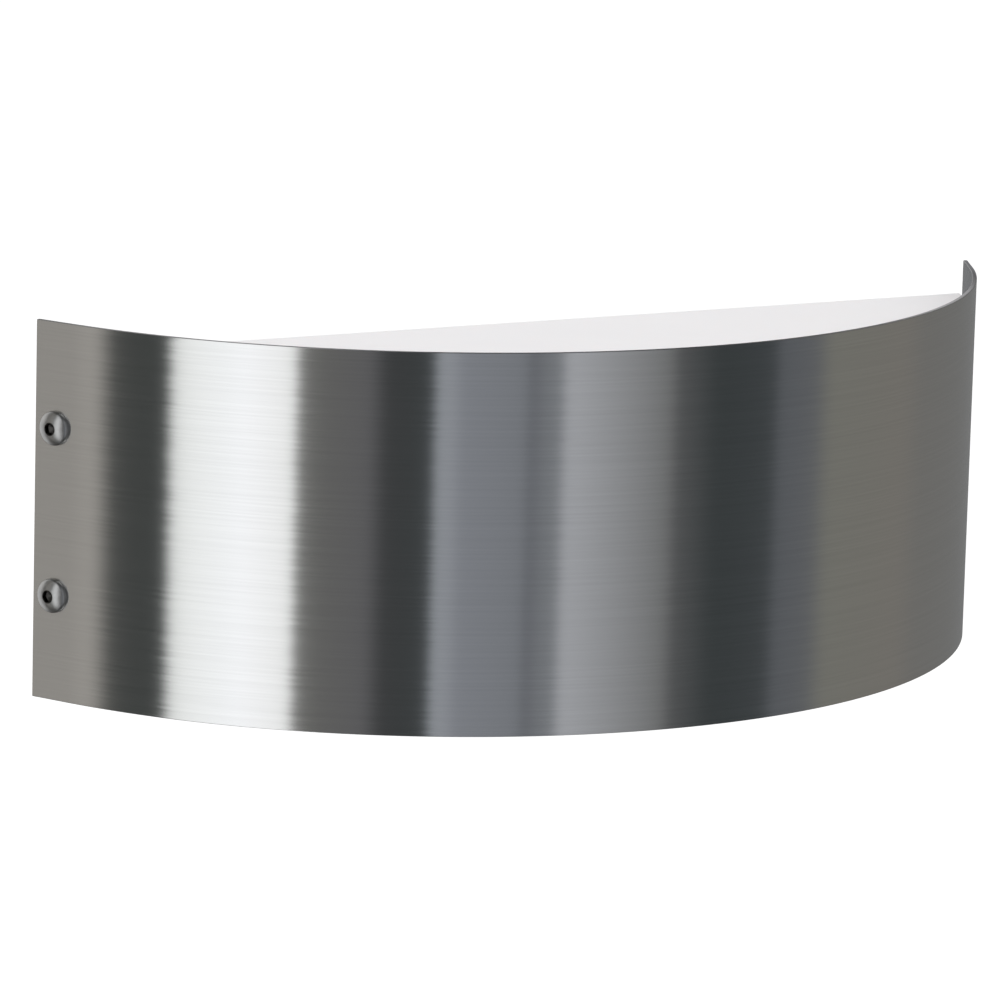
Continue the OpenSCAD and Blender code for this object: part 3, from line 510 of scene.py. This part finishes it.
# Each seal is an extruded rubber strip, bent round the skirt of a diffuser and let into its groove.
# Extrusion leaves fine lines along it and a dull black skin.
strip_rubber, tree, shader, place = start_finish("extruded_rubber", Roughness=0.68)
DRAWN_LENGTH = 0.03
DRAWN_PITCH = 0.0005
drawn_at = add(
    tree,
    "ShaderNodeMapping",
    {"Vector": place, "Scale": (1 / DRAWN_LENGTH, 1 / DRAWN_LENGTH, 1 / DRAWN_PITCH)},
)
drawn = add(tree, "ShaderNodeTexNoise", {"Vector": drawn_at.outputs["Vector"], "Scale": 1.0})
tone = add(
    tree,
    "ShaderNodeMix",
    {0: drawn.outputs["Fac"], 6: linear("#1d1d1f"), 7: linear("#303133")},
    data_type="RGBA",
)
tree.links.new(tone.outputs[2], shader.inputs["Base Color"])
finish_nodes(strip_rubber, "upper_seal", "lower_seal")


# The shield is 1.2 mm stainless sheet, brushed along its length before it was cut, then rolled to
# an arc with a flat stretch left at each end. Its cut edges are only deburred, and stay sharp.
SHIELD_WIDTH = 0.300
SHIELD_HEIGHT = 0.105
SHIELD_DEPTH = 0.103
SHEET = 0.0012
FLAT_END = 0.012
WALL_GAP = 0.001
BEND = 2 * math.atan((SHIELD_DEPTH - WALL_GAP) / (SHIELD_WIDTH / 2 + FLAT_END))
CURVE_R = (SHIELD_WIDTH / 2 - FLAT_END * math.cos(BEND)) / math.sin(BEND)
CURVE_Y = CURVE_R - SHIELD_DEPTH
HOLD_FROM_END = 0.007
HOLD_SPACING = 0.0465
HOLE = 0.0055
HOOK = 0.002
HOOK_TIP = 0.0008
HOOK_FIT = 0.0001
SLOT_HEIGHT = 0.0105
PUNCH_LENGTH = 0.01
DEBURR = 0.00018
ARC_STEPS = 240


def across_sheet(inset):
    """Points along the sheet from its left end to its right end, inset metres in from its outer face."""
    r = CURVE_R - inset
    points = []
    for i in range(ARC_STEPS + 1):
        turn = BEND * (2 * i / ARC_STEPS - 1)
        points.append((r * math.sin(turn), CURVE_Y - r * math.cos(turn)))
    (left_x, left_y), (right_x, right_y) = points[0], points[-1]
    along, back = FLAT_END * math.cos(BEND), FLAT_END * math.sin(BEND)
    return [(left_x - along, left_y + back), *points, (right_x + along, right_y + back)]


def end_frame(side):
    """Frame at a flat end's outer edge: X out along the sheet, Y up or down, Z out of the sheet."""
    out_along = Vector((side * math.cos(BEND), math.sin(BEND), 0))
    out_of = Vector((side * math.sin(BEND), -math.cos(BEND), 0))
    up = Vector((0, 0, side))
    place_of = Vector((side * SHIELD_WIDTH / 2, -WALL_GAP, 0))
    frame_of = Matrix((out_along, up, out_of)).transposed().to_4x4()
    frame_of.translation = place_of
    return frame_of


def hold_frames(side):
    """Frames of the two places where an end is held."""
    return [
        end_frame(side) @ Matrix.Translation((-HOLD_FROM_END, level * HOLD_SPACING / 2, 0))
        for level in (-1, 1)
    ]


outer, inner = across_sheet(0), across_sheet(SHEET)
half_height = SHIELD_HEIGHT / 2
work = bmesh.new()
rings = [
    [
        work.verts.new((*outer[i], -half_height)),
        work.verts.new((*outer[i], half_height)),
        work.verts.new((*inner[i], half_height)),
        work.verts.new((*inner[i], -half_height)),
    ]
    for i in range(len(outer))
]
for before, after in zip(rings, rings[1:]):
    for k in range(4):
        work.faces.new((before[k], after[k], after[(k + 1) % 4], before[(k + 1) % 4]))
work.faces.new(rings[0])
work.faces.new(rings[-1][::-1])
bmesh.ops.recalc_face_normals(work, faces=work.faces)
sheet_mesh = bpy.data.meshes.new("shield")
work.to_mesh(sheet_mesh)
work.free()
shield = bpy.data.objects.new("shield_finished", sheet_mesh)
bpy.context.scene.collection.objects.link(shield)

# Two round holes for the screws at the left, and two slots for the base's hooks at the right
slot_length = HOOK + HOOK_TIP + 2 * HOOK_FIT
slot_middle = HOOK / 2 + HOOK_FIT - slot_length / 2
work = bmesh.new()
for where in hold_frames(-1):
    bmesh.ops.create_cone(
        work,
        cap_ends=True,
        segments=ROUND_SIDES,
        radius1=HOLE / 2,
        radius2=HOLE / 2,
        depth=PUNCH_LENGTH,
        matrix=where,
    )
for where in hold_frames(1):
    punched = Matrix.Translation((slot_middle, 0, 0))
    punched @= Matrix.Diagonal((slot_length, SLOT_HEIGHT, PUNCH_LENGTH, 1))
    bmesh.ops.create_cube(work, size=1, matrix=where @ punched)
cut_away(shield, work)
deburr = shield.modifiers.new("deburred_edges", "BEVEL")
deburr.width = DEBURR
deburr.segments = 3
deburr.limit_method = "ANGLE"
deburr.angle_limit = math.radians(40)
deburr.harden_normals = True
for face in shield.data.polygons:
    face.use_smooth = True
settle(shield)

# Brushed stainless steel: hair-fine lines along the sheet blur every reflection up and down into
# upright bands, and leave them nearly sharp from side to side. The real lines are about 0.05 mm
# apart, which is too fine to show, so they are drawn 0.5 mm apart.
BRUSH_PITCH = 0.0005
BRUSH_LENGTH = 0.07
SWAY_PITCH = 0.0009
SWAY = 0.0026
SWAY_SHIFT = (3, 5, 7)
LASER_DULL = 0.5
steel, tree, shader, place = start_finish(
    "brushed_stainless_steel", Metallic=1.0, Anisotropic=1.0, Anisotropic_Rotation=0.25
)
brushed_at = add(
    tree,
    "ShaderNodeMapping",
    {"Vector": place, "Scale": (1 / BRUSH_LENGTH, 1 / BRUSH_LENGTH, 1 / BRUSH_PITCH)},
)
brushed = add(
    tree, "ShaderNodeTexNoise", {"Vector": brushed_at.outputs["Vector"], "Scale": 1.0, "Detail": 3.0}
)
lines = add(
    tree,
    "ShaderNodeMapRange",
    {"Value": brushed.outputs["Fac"], "From Min": 0.3, "From Max": 0.7, "To Min": 0.0, "To Max": 1.0},
)
tone = add(
    tree,
    "ShaderNodeMix",
    {0: lines.outputs["Result"], 6: linear("#c8c7c5"), 7: linear("#cecdcb")},
    data_type="RGBA",
)
dull = add(tree, "ShaderNodeMapRange", {"Value": brushed.outputs["Fac"], "To Min": 0.165, "To Max": 0.195})
# The cut edges at the top and bottom have no brushed lines: the laser leaves them duller and a
# little darker. The finish changes over their rounding.
normal = add(tree, "ShaderNodeNewGeometry").outputs["Normal"]
facing_up = add(tree, "ShaderNodeSeparateXYZ", {"Vector": normal})
flatness = add(tree, "ShaderNodeMath", {0: facing_up.outputs["Z"]}, operation="ABSOLUTE")
cut_edge = add(
    tree, "ShaderNodeMapRange", {"Value": flatness.outputs["Value"], "From Min": 0.3, "From Max": 0.8}
)
edge_tone = add(
    tree,
    "ShaderNodeMix",
    {0: cut_edge.outputs["Result"], 6: tone.outputs[2], 7: linear("#9c9b9d")},
    data_type="RGBA",
)
edge_dull = add(
    tree, "ShaderNodeMix", {0: cut_edge.outputs["Result"], 2: dull.outputs["Result"], 3: LASER_DULL}
)
# The brush wanders, so neighbouring lines face a little more left or right, and the bands' edges
# are feathered. This pattern is taken from another place in the noise than the lines' own.
swayed_at = add(
    tree,
    "ShaderNodeMapping",
    {
        "Vector": place,
        "Scale": (1 / BRUSH_LENGTH, 1 / BRUSH_LENGTH, 1 / SWAY_PITCH),
        "Location": SWAY_SHIFT,
    },
)
swayed = add(
    tree, "ShaderNodeTexNoise", {"Vector": swayed_at.outputs["Vector"], "Scale": 1.0, "Detail": 4.0}
)
sway = add(
    tree,
    "ShaderNodeMapRange",
    {"Value": swayed.outputs["Fac"], "From Min": 0.25, "From Max": 0.75, "To Min": -SWAY, "To Max": SWAY},
)
sideways = add(tree, "ShaderNodeVectorMath", {0: (0, 0, 1), 1: normal}, operation="CROSS_PRODUCT")
leaned = add(
    tree,
    "ShaderNodeVectorMath",
    {0: sideways.outputs["Vector"], "Scale": sway.outputs["Result"]},
    operation="SCALE",
)
turned = add(tree, "ShaderNodeVectorMath", {0: normal, 1: leaned.outputs["Vector"]}, operation="ADD")
unit = add(tree, "ShaderNodeVectorMath", {0: turned.outputs["Vector"]}, operation="NORMALIZE")
around = add(tree, "ShaderNodeTangent", direction_type="RADIAL", axis="Z")
tree.links.new(edge_tone.outputs[2], shader.inputs["Base Color"])
tree.links.new(edge_dull.outputs[0], shader.inputs["Roughness"])
tree.links.new(unit.outputs["Vector"], shader.inputs["Normal"])
tree.links.new(around.outputs["Tangent"], shader.inputs["Tangent"])
stand_for(shield, steel, "brushed_stainless", "shield")


# The two button-head screws are cold-headed stainless steel with a hexagon socket, M5 by 8. They
# clamp the left flat end to the base's pads. The dome is a satin grey and the socket is dark.
HEAD_R = 0.00475
HEAD_H = 0.00275
DOME_R = 0.0077
DOME_EDGE_R = 0.00435
SOCKET = 0.003
SOCKET_DEPTH = 0.0016
THREAD_R = 0.0025
THREAD_ROOT = 0.0021
THREAD_PITCH = 0.0008
THREAD_START = 0.0010
THREAD_RUNOUT = 0.0014
THREAD_CREST = 0.00006
THREAD_GROOVE = 0.00008
SCREW_LENGTH = 0.008
SCREW_POINT = 0.0003
BROKEN_EDGE = 0.0001
NECK = 0.0002
DOME_STEPS = 10
SHOULDER_STEPS = 7
SCREW_SIDES = 56
SAME_VERTEX = 1e-6

# Half of its outline: a shallow dome, a rounded shoulder and a short side, then the thread's rings
slope = math.asin(DOME_EDGE_R / DOME_R)
shoulder_r = (HEAD_R - DOME_EDGE_R) / (1 - math.sin(slope))
shoulder_z = HEAD_H - DOME_R + (DOME_R - shoulder_r) * math.cos(slope)
profile = [(0.0, HEAD_H)]
for i in range(1, DOME_STEPS + 1):
    lean = slope * i / DOME_STEPS
    profile.append((DOME_R * math.sin(lean), HEAD_H - DOME_R * (1 - math.cos(lean))))
for i in range(1, SHOULDER_STEPS + 1):
    lean = slope + (math.pi / 2 - slope) * i / SHOULDER_STEPS
    profile.append((HEAD_R - shoulder_r * (1 - math.sin(lean)), shoulder_z + shoulder_r * math.cos(lean)))
profile += [
    (HEAD_R, BROKEN_EDGE),
    (HEAD_R - BROKEN_EDGE, 0.0),
    (THREAD_R + BROKEN_EDGE, 0.0),
    (THREAD_R, -NECK),
]
turns = int((SCREW_LENGTH - THREAD_RUNOUT) / THREAD_PITCH)
for i in range(turns):
    level = -THREAD_START - i * THREAD_PITCH
    profile += [
        (THREAD_R, level + THREAD_CREST),
        (THREAD_R, level - THREAD_CREST),
        (THREAD_ROOT, level - THREAD_PITCH / 2 + THREAD_GROOVE),
        (THREAD_ROOT, level - THREAD_PITCH / 2 - THREAD_GROOVE),
    ]
profile += [
    (THREAD_ROOT, -SCREW_LENGTH + SCREW_POINT),
    (THREAD_ROOT - SCREW_POINT, -SCREW_LENGTH),
    (0.0, -SCREW_LENGTH),
]

work = bmesh.new()
for (r0, z0), (r1, z1) in zip(profile, profile[1:]):
    work.edges.new((work.verts.new((r0, 0, z0)), work.verts.new((r1, 0, z1))))
bmesh.ops.spin(
    work,
    geom=work.verts[:] + work.edges[:],
    cent=(0, 0, 0),
    axis=(0, 0, 1),
    angle=2 * math.pi,
    steps=SCREW_SIDES,
)
bmesh.ops.remove_doubles(work, verts=work.verts, dist=SAME_VERTEX)
bmesh.ops.recalc_face_normals(work, faces=work.faces)
screw_mesh = bpy.data.meshes.new("button_screw")
work.to_mesh(screw_mesh)
work.free()
one_screw = bpy.data.objects.new("one_screw", screw_mesh)
bpy.context.scene.collection.objects.link(one_screw)

# The punch for the socket: a hexagon, its blunt point under it and a small chamfer at its mouth.
# Each part has its sides, its radius at both ends and its two levels.
across_corners = SOCKET / math.cos(math.pi / 6) / 2
socket_end = HEAD_H - SOCKET_DEPTH
PUNCH_ABOVE = 0.001
POINT_DEPTH = 0.0005
POINT_OVERLAP = 1e-5
CHAMFER = 0.0003
mouth_r = across_corners * 0.9
punch_parts = [
    (6, across_corners, across_corners, socket_end, HEAD_H + PUNCH_ABOVE),
    (6, across_corners * 0.2, across_corners * 0.98, socket_end - POINT_DEPTH, socket_end + POINT_OVERLAP),
    (ROUND_SIDES, mouth_r, mouth_r + 2 * CHAMFER, HEAD_H - CHAMFER, HEAD_H + CHAMFER),
]
for sides, low_r, high_r, low, high in punch_parts:
    work = bmesh.new()
    bmesh.ops.create_cone(
        work,
        cap_ends=True,
        segments=sides,
        radius1=low_r,
        radius2=high_r,
        depth=high - low,
        matrix=Matrix.Translation((0, 0, (low + high) / 2)),
    )
    cut_away(one_screw, work)
screw_mesh = one_screw.data
bpy.data.objects.remove(one_screw)

# Cold-headed and passivated steel: a satin grey like the sheet's, with rings from the header's die.
# The inside of the socket is painted dark, as painted shade for its deep recess.
bright_steel, tree, shader, place = start_finish("passivated_stainless", Metallic=1.0)
RING_PITCH = 0.0004
# At a scale of 1 the wave texture's rings are this far apart
WAVE_AT_ONE = math.tau / 20
SCUFF = 0.0011
SOCKET_SHADE_FADE = 0.0002
rings_of = add(
    tree,
    "ShaderNodeTexWave",
    {"Vector": place, "Scale": WAVE_AT_ONE / RING_PITCH, "Distortion": 0.6, "Detail": 1.0},
    wave_type="RINGS",
    rings_direction="Z",
)
scuff = add(tree, "ShaderNodeTexNoise", {"Vector": place, "Scale": 1 / SCUFF, "Detail": 3.0})
tone = add(
    tree,
    "ShaderNodeMix",
    {0: scuff.outputs["Fac"], 6: linear("#9f9e9c"), 7: linear("#bab9b7")},
    data_type="RGBA",
)
dull = add(tree, "ShaderNodeMapRange", {"Value": scuff.outputs["Fac"], "To Min": 0.24, "To Max": 0.4})
# Painted shade: inside the socket's hexagon the colour turns dark, for the shade in its deep recess
flat_place = add(tree, "ShaderNodeVectorMath", {0: place, 1: (1, 1, 0)}, operation="MULTIPLY")
from_axis = add(tree, "ShaderNodeVectorMath", {0: flat_place.outputs["Vector"]}, operation="LENGTH")
socket_shade = add(
    tree,
    "ShaderNodeMapRange",
    {
        "Value": from_axis.outputs["Value"],
        "From Min": across_corners,
        "From Max": across_corners + SOCKET_SHADE_FADE,
        "To Min": 1.0,
        "To Max": 0.0,
    },
)
shaded_socket = add(
    tree,
    "ShaderNodeMix",
    {0: socket_shade.outputs["Result"], 6: tone.outputs[2], 7: linear("#474543")},
    data_type="RGBA",
)
relief = add(
    tree, "ShaderNodeBump", {"Height": rings_of.outputs["Fac"], "Strength": 0.15, "Distance": 0.00003}
)
tree.links.new(shaded_socket.outputs[2], shader.inputs["Base Color"])
tree.links.new(dull.outputs["Result"], shader.inputs["Roughness"])
tree.links.new(relief.outputs["Normal"], shader.inputs["Normal"])

# Each head has stopped at its own turn, in degrees
SOCKET_TURNS = (11, 38)
for number, (where, turn) in enumerate(zip(hold_frames(-1), SOCKET_TURNS), start=1):
    where = where @ Matrix.Rotation(math.radians(turn), 4, "Z")
    screw = place_piece(screw_mesh.copy(), f"button_screw_{number}", smooth=28)
    screw.matrix_world = where
    stand_for(screw, bright_steel, "stainless_screws", "shield_screws")


# The room is a photographer's white sweep. One bright window and boards in greys stand round the
# light, as they do for metal, and the steel shows them as its bands.

# The panels go from behind the light by its left side and front to its right side. Each has its
# edge in degrees from the front, how soft that edge is, and the steel's tone at its near and far
# side.
PANELS = [
    ("rear wall", -180, 0, "#c2c2c1", "#bababa"),
    ("dark gap", -134, 5, "#3c3c3a", "#4a4946"),
    ("warm grey wall", -116, 4, "#75736f", "#9a9792"),
    ("black flag", -95.3, 3.2, "#3c3e3d", "#3a3d3c"),
    ("window", -79.5, 1.4, "#e7e9e7", "#f4f6f8"),
    ("window's far side", -64, 4, "#f6f7f9", "#e8e9e8"),
    ("grey door", -52.9, 1.3, "#5f5f5c", "#59595b"),
    ("black curtain", -36.5, 2.5, "#393a3b", "#363a3b"),
    ("lit edge of the blue-grey board", -24.9, 1.2, "#909499", "#84878d"),
    ("blue-grey board", -20.2, 1.2, "#7a7d83", "#72757a"),
    ("board's joint", -6.4, 0.9, "#5e6166", "#65676c"),
    ("board's end", -3.6, 0.8, "#6b6e72", "#6e7175"),
    ("pale board", 1.1, 1.4, "#a0a2a6", "#6b6c6c"),
    ("camera stand", 24.8, 1.6, "#525354", "#363a3b"),
    ("black flag on the right", 35, 5, "#343839", "#383c3e"),
    ("slate wall", 49.5, 1.6, "#525559", "#595b5e"),
    ("warm wall on the right", 62.4, 3.2, "#6d6d67", "#6e6b66"),
    ("grey wall on the right", 94, 6, "#686764", "#5c5d5e"),
    ("rear wall's other end", 167, 3, "#c2c2c1", "#c2c2c1"),
]
# The mean tone of the sheet. A panel is brighter by as much as the steel is darker than white.
STEEL_TONE = linear("#cbcac8")[:3]
# The ground and the ceiling darken with the slope of the view, and the sweep fills the rear
DARK_FROM = 0.6
DARK_TO = 0.85
DARK_SHARE = 0.2
REAR_FROM = 0.55
REAR_TO = 0.75
SWEEP_FROM = -0.03
SWEEP_TO = 0.1
PLAIN_LIGHT = 0.73


def room_nodes(tree):
    """The room's colour by compass direction, as a socket."""
    look = add(tree, "ShaderNodeTexCoord").outputs["Generated"]
    way = add(tree, "ShaderNodeSeparateXYZ", {"Vector": look})
    back = add(tree, "ShaderNodeMath", {0: way.outputs["Y"], 1: -1.0}, operation="MULTIPLY")
    compass = add(
        tree,
        "ShaderNodeMath",
        {0: way.outputs["X"], 1: back.outputs["Value"]},
        operation="ARCTAN2",
    ).outputs["Value"]
    colour = None
    ends = [panel[1] for panel in PANELS[1:]] + [180]
    for (name, edge, soft, near, far), end in zip(PANELS, ends):
        tones = [[c / s for c, s in zip(linear(tone)[:3], STEEL_TONE)] + [1.0] for tone in (near, far)]
        across = add(
            tree,
            "ShaderNodeMapRange",
            {"Value": compass, "From Min": math.radians(edge), "From Max": math.radians(end)},
        )
        panel = add(
            tree,
            "ShaderNodeMix",
            {0: across.outputs["Result"], 6: tones[0], 7: tones[1]},
            data_type="RGBA",
            label=name,
        )
        if colour is None:
            colour = panel.outputs[2]
            continue
        begun = add(
            tree,
            "ShaderNodeMapRange",
            {
                "Value": compass,
                "From Min": math.radians(edge - soft),
                "From Max": math.radians(edge + soft),
            },
            interpolation_type="SMOOTHSTEP",
        )
        colour = add(
            tree,
            "ShaderNodeMix",
            {0: begun.outputs["Result"], 6: colour, 7: panel.outputs[2]},
            data_type="RGBA",
        ).outputs[2]
    # The panels stand on a dark ground and under a dark ceiling
    steepness = add(tree, "ShaderNodeMath", {0: way.outputs["Z"]}, operation="ABSOLUTE")
    level = add(
        tree,
        "ShaderNodeMapRange",
        {
            "Value": steepness.outputs["Value"],
            "From Min": DARK_FROM,
            "From Max": DARK_TO,
            "To Min": 1.0,
            "To Max": DARK_SHARE,
        },
        interpolation_type="SMOOTHSTEP",
    )
    between = add(
        tree,
        "ShaderNodeVectorMath",
        {0: colour, "Scale": level.outputs["Result"]},
        operation="SCALE",
    )
    # Behind the light the white sweep rises from the horizon
    behind = add(
        tree,
        "ShaderNodeMapRange",
        {"Value": way.outputs["Y"], "From Min": REAR_FROM, "From Max": REAR_TO},
    )
    above = add(
        tree,
        "ShaderNodeMapRange",
        {"Value": way.outputs["Z"], "From Min": SWEEP_FROM, "From Max": SWEEP_TO},
    )
    sweep = add(
        tree,
        "ShaderNodeMath",
        {0: behind.outputs["Result"], 1: above.outputs["Result"]},
        operation="MULTIPLY",
    )
    return add(
        tree,
        "ShaderNodeMix",
        {0: sweep.outputs["Value"], 6: between.outputs["Vector"], 7: linear("#ffffff")},
        data_type="RGBA",
    ).outputs[2]


world = bpy.data.worlds.new("studio")
bpy.context.scene.world = world
world.use_nodes = True
tree = world.node_tree
tree.nodes.clear()
rays = add(tree, "ShaderNodeLightPath").outputs
# Glossy rays see the room, camera rays see plain white, and all others get a plain even light
panels = add(tree, "ShaderNodeBackground", {"Color": room_nodes(tree), "Strength": 1.0})
plain = add(tree, "ShaderNodeBackground", {"Color": linear("#ffffff"), "Strength": PLAIN_LIGHT})
white = add(tree, "ShaderNodeBackground", {"Color": linear("#ffffff"), "Strength": 1.0})
lit = add(
    tree,
    "ShaderNodeMixShader",
    {0: rays["Is Glossy Ray"], 1: plain.outputs["Background"], 2: panels.outputs["Background"]},
)
seen = add(
    tree,
    "ShaderNodeMath",
    {0: rays["Is Camera Ray"], 1: rays["Is Transmission Ray"]},
    operation="MAXIMUM",
)
shown = add(
    tree,
    "ShaderNodeMixShader",
    {0: seen.outputs["Value"], 1: lit.outputs["Shader"], 2: white.outputs["Background"]},
)
add(tree, "ShaderNodeOutputWorld", {"Surface": shown.outputs["Shader"]})

# The floor is wide pale paper, far below the light because that hangs on a wall. The camera sees it
# as white, and the steel doesn't mirror it.
FLOOR_LEVEL = -2.5
FLOOR_HALF = 20.0
PAPER_GLOW = 0.5
floor_mesh = bpy.data.meshes.new("floor")
floor_mesh.from_pydata(
    [(x * FLOOR_HALF, y * FLOOR_HALF, FLOOR_LEVEL) for x, y in ((-1, -1), (1, -1), (1, 1), (-1, 1))],
    [],
    [(0, 1, 2, 3)],
)
floor = bpy.data.objects.new("floor", floor_mesh)
bpy.context.scene.collection.objects.link(floor)
floor.visible_glossy = False
paper, tree, shader, place = start_finish(
    "white_paper", Roughness=0.9, Base_Color=linear("#e9e9e9"), Emission_Color=linear("#ffffff")
)
rays = add(tree, "ShaderNodeLightPath").outputs
camera_only = add(
    tree, "ShaderNodeMath", {0: rays["Is Camera Ray"], 1: PAPER_GLOW}, operation="MULTIPLY"
)
tree.links.new(camera_only.outputs["Value"], shader.inputs["Emission Strength"])
floor_mesh.materials.append(paper)

# Each softbox has its place and side in metres and its power in watts, and faces the light
SOFTBOXES = (
    ("key_softbox", (-1.3, -1.9, 1.7), 1.4, 17.5),
    ("fill_softbox", (1.9, -1.2, 1.0), 1.6, 7.5),
    ("back_softbox", (0.4, 2.2, 1.5), 1.6, 9.5),
)
for name, spot, size, power in SOFTBOXES:
    lamp = bpy.data.lights.new(name, "AREA")
    lamp.size = size
    lamp.energy = power
    softbox = bpy.data.objects.new(name, lamp)
    softbox.location = spot
    softbox.rotation_euler = (-Vector(spot)).to_track_quat("-Z", "Y").to_euler()
    softbox.visible_glossy = False
    bpy.context.scene.collection.objects.link(softbox)


# The camera stands where the photographer's stood: low over the rims, left of the middle, far off
# with a long lens, and tilted by a degree and a half.
CAMERA_PLACE = (-0.8989, -1.60769, 0.35402)
CAMERA_TURN = -29.1
CAMERA_DIP = 11.14
CAMERA_TILT = 1.53
lens_camera = bpy.data.cameras.new("camera")
lens_camera.sensor_width = 36.0
lens_camera.lens = 237.73
lens_camera.clip_end = 100.0
camera = bpy.data.objects.new("camera", lens_camera)
camera.matrix_world = (
    Matrix.Translation(CAMERA_PLACE)
    @ Matrix.Rotation(math.radians(CAMERA_TURN), 4, "Z")
    @ Matrix.Rotation(math.radians(90 - CAMERA_DIP), 4, "X")
    @ Matrix.Rotation(math.radians(CAMERA_TILT), 4, "Z")
)
bpy.context.scene.collection.objects.link(camera)
bpy.context.scene.camera = camera
bpy.context.scene.view_settings.view_transform = "Standard"
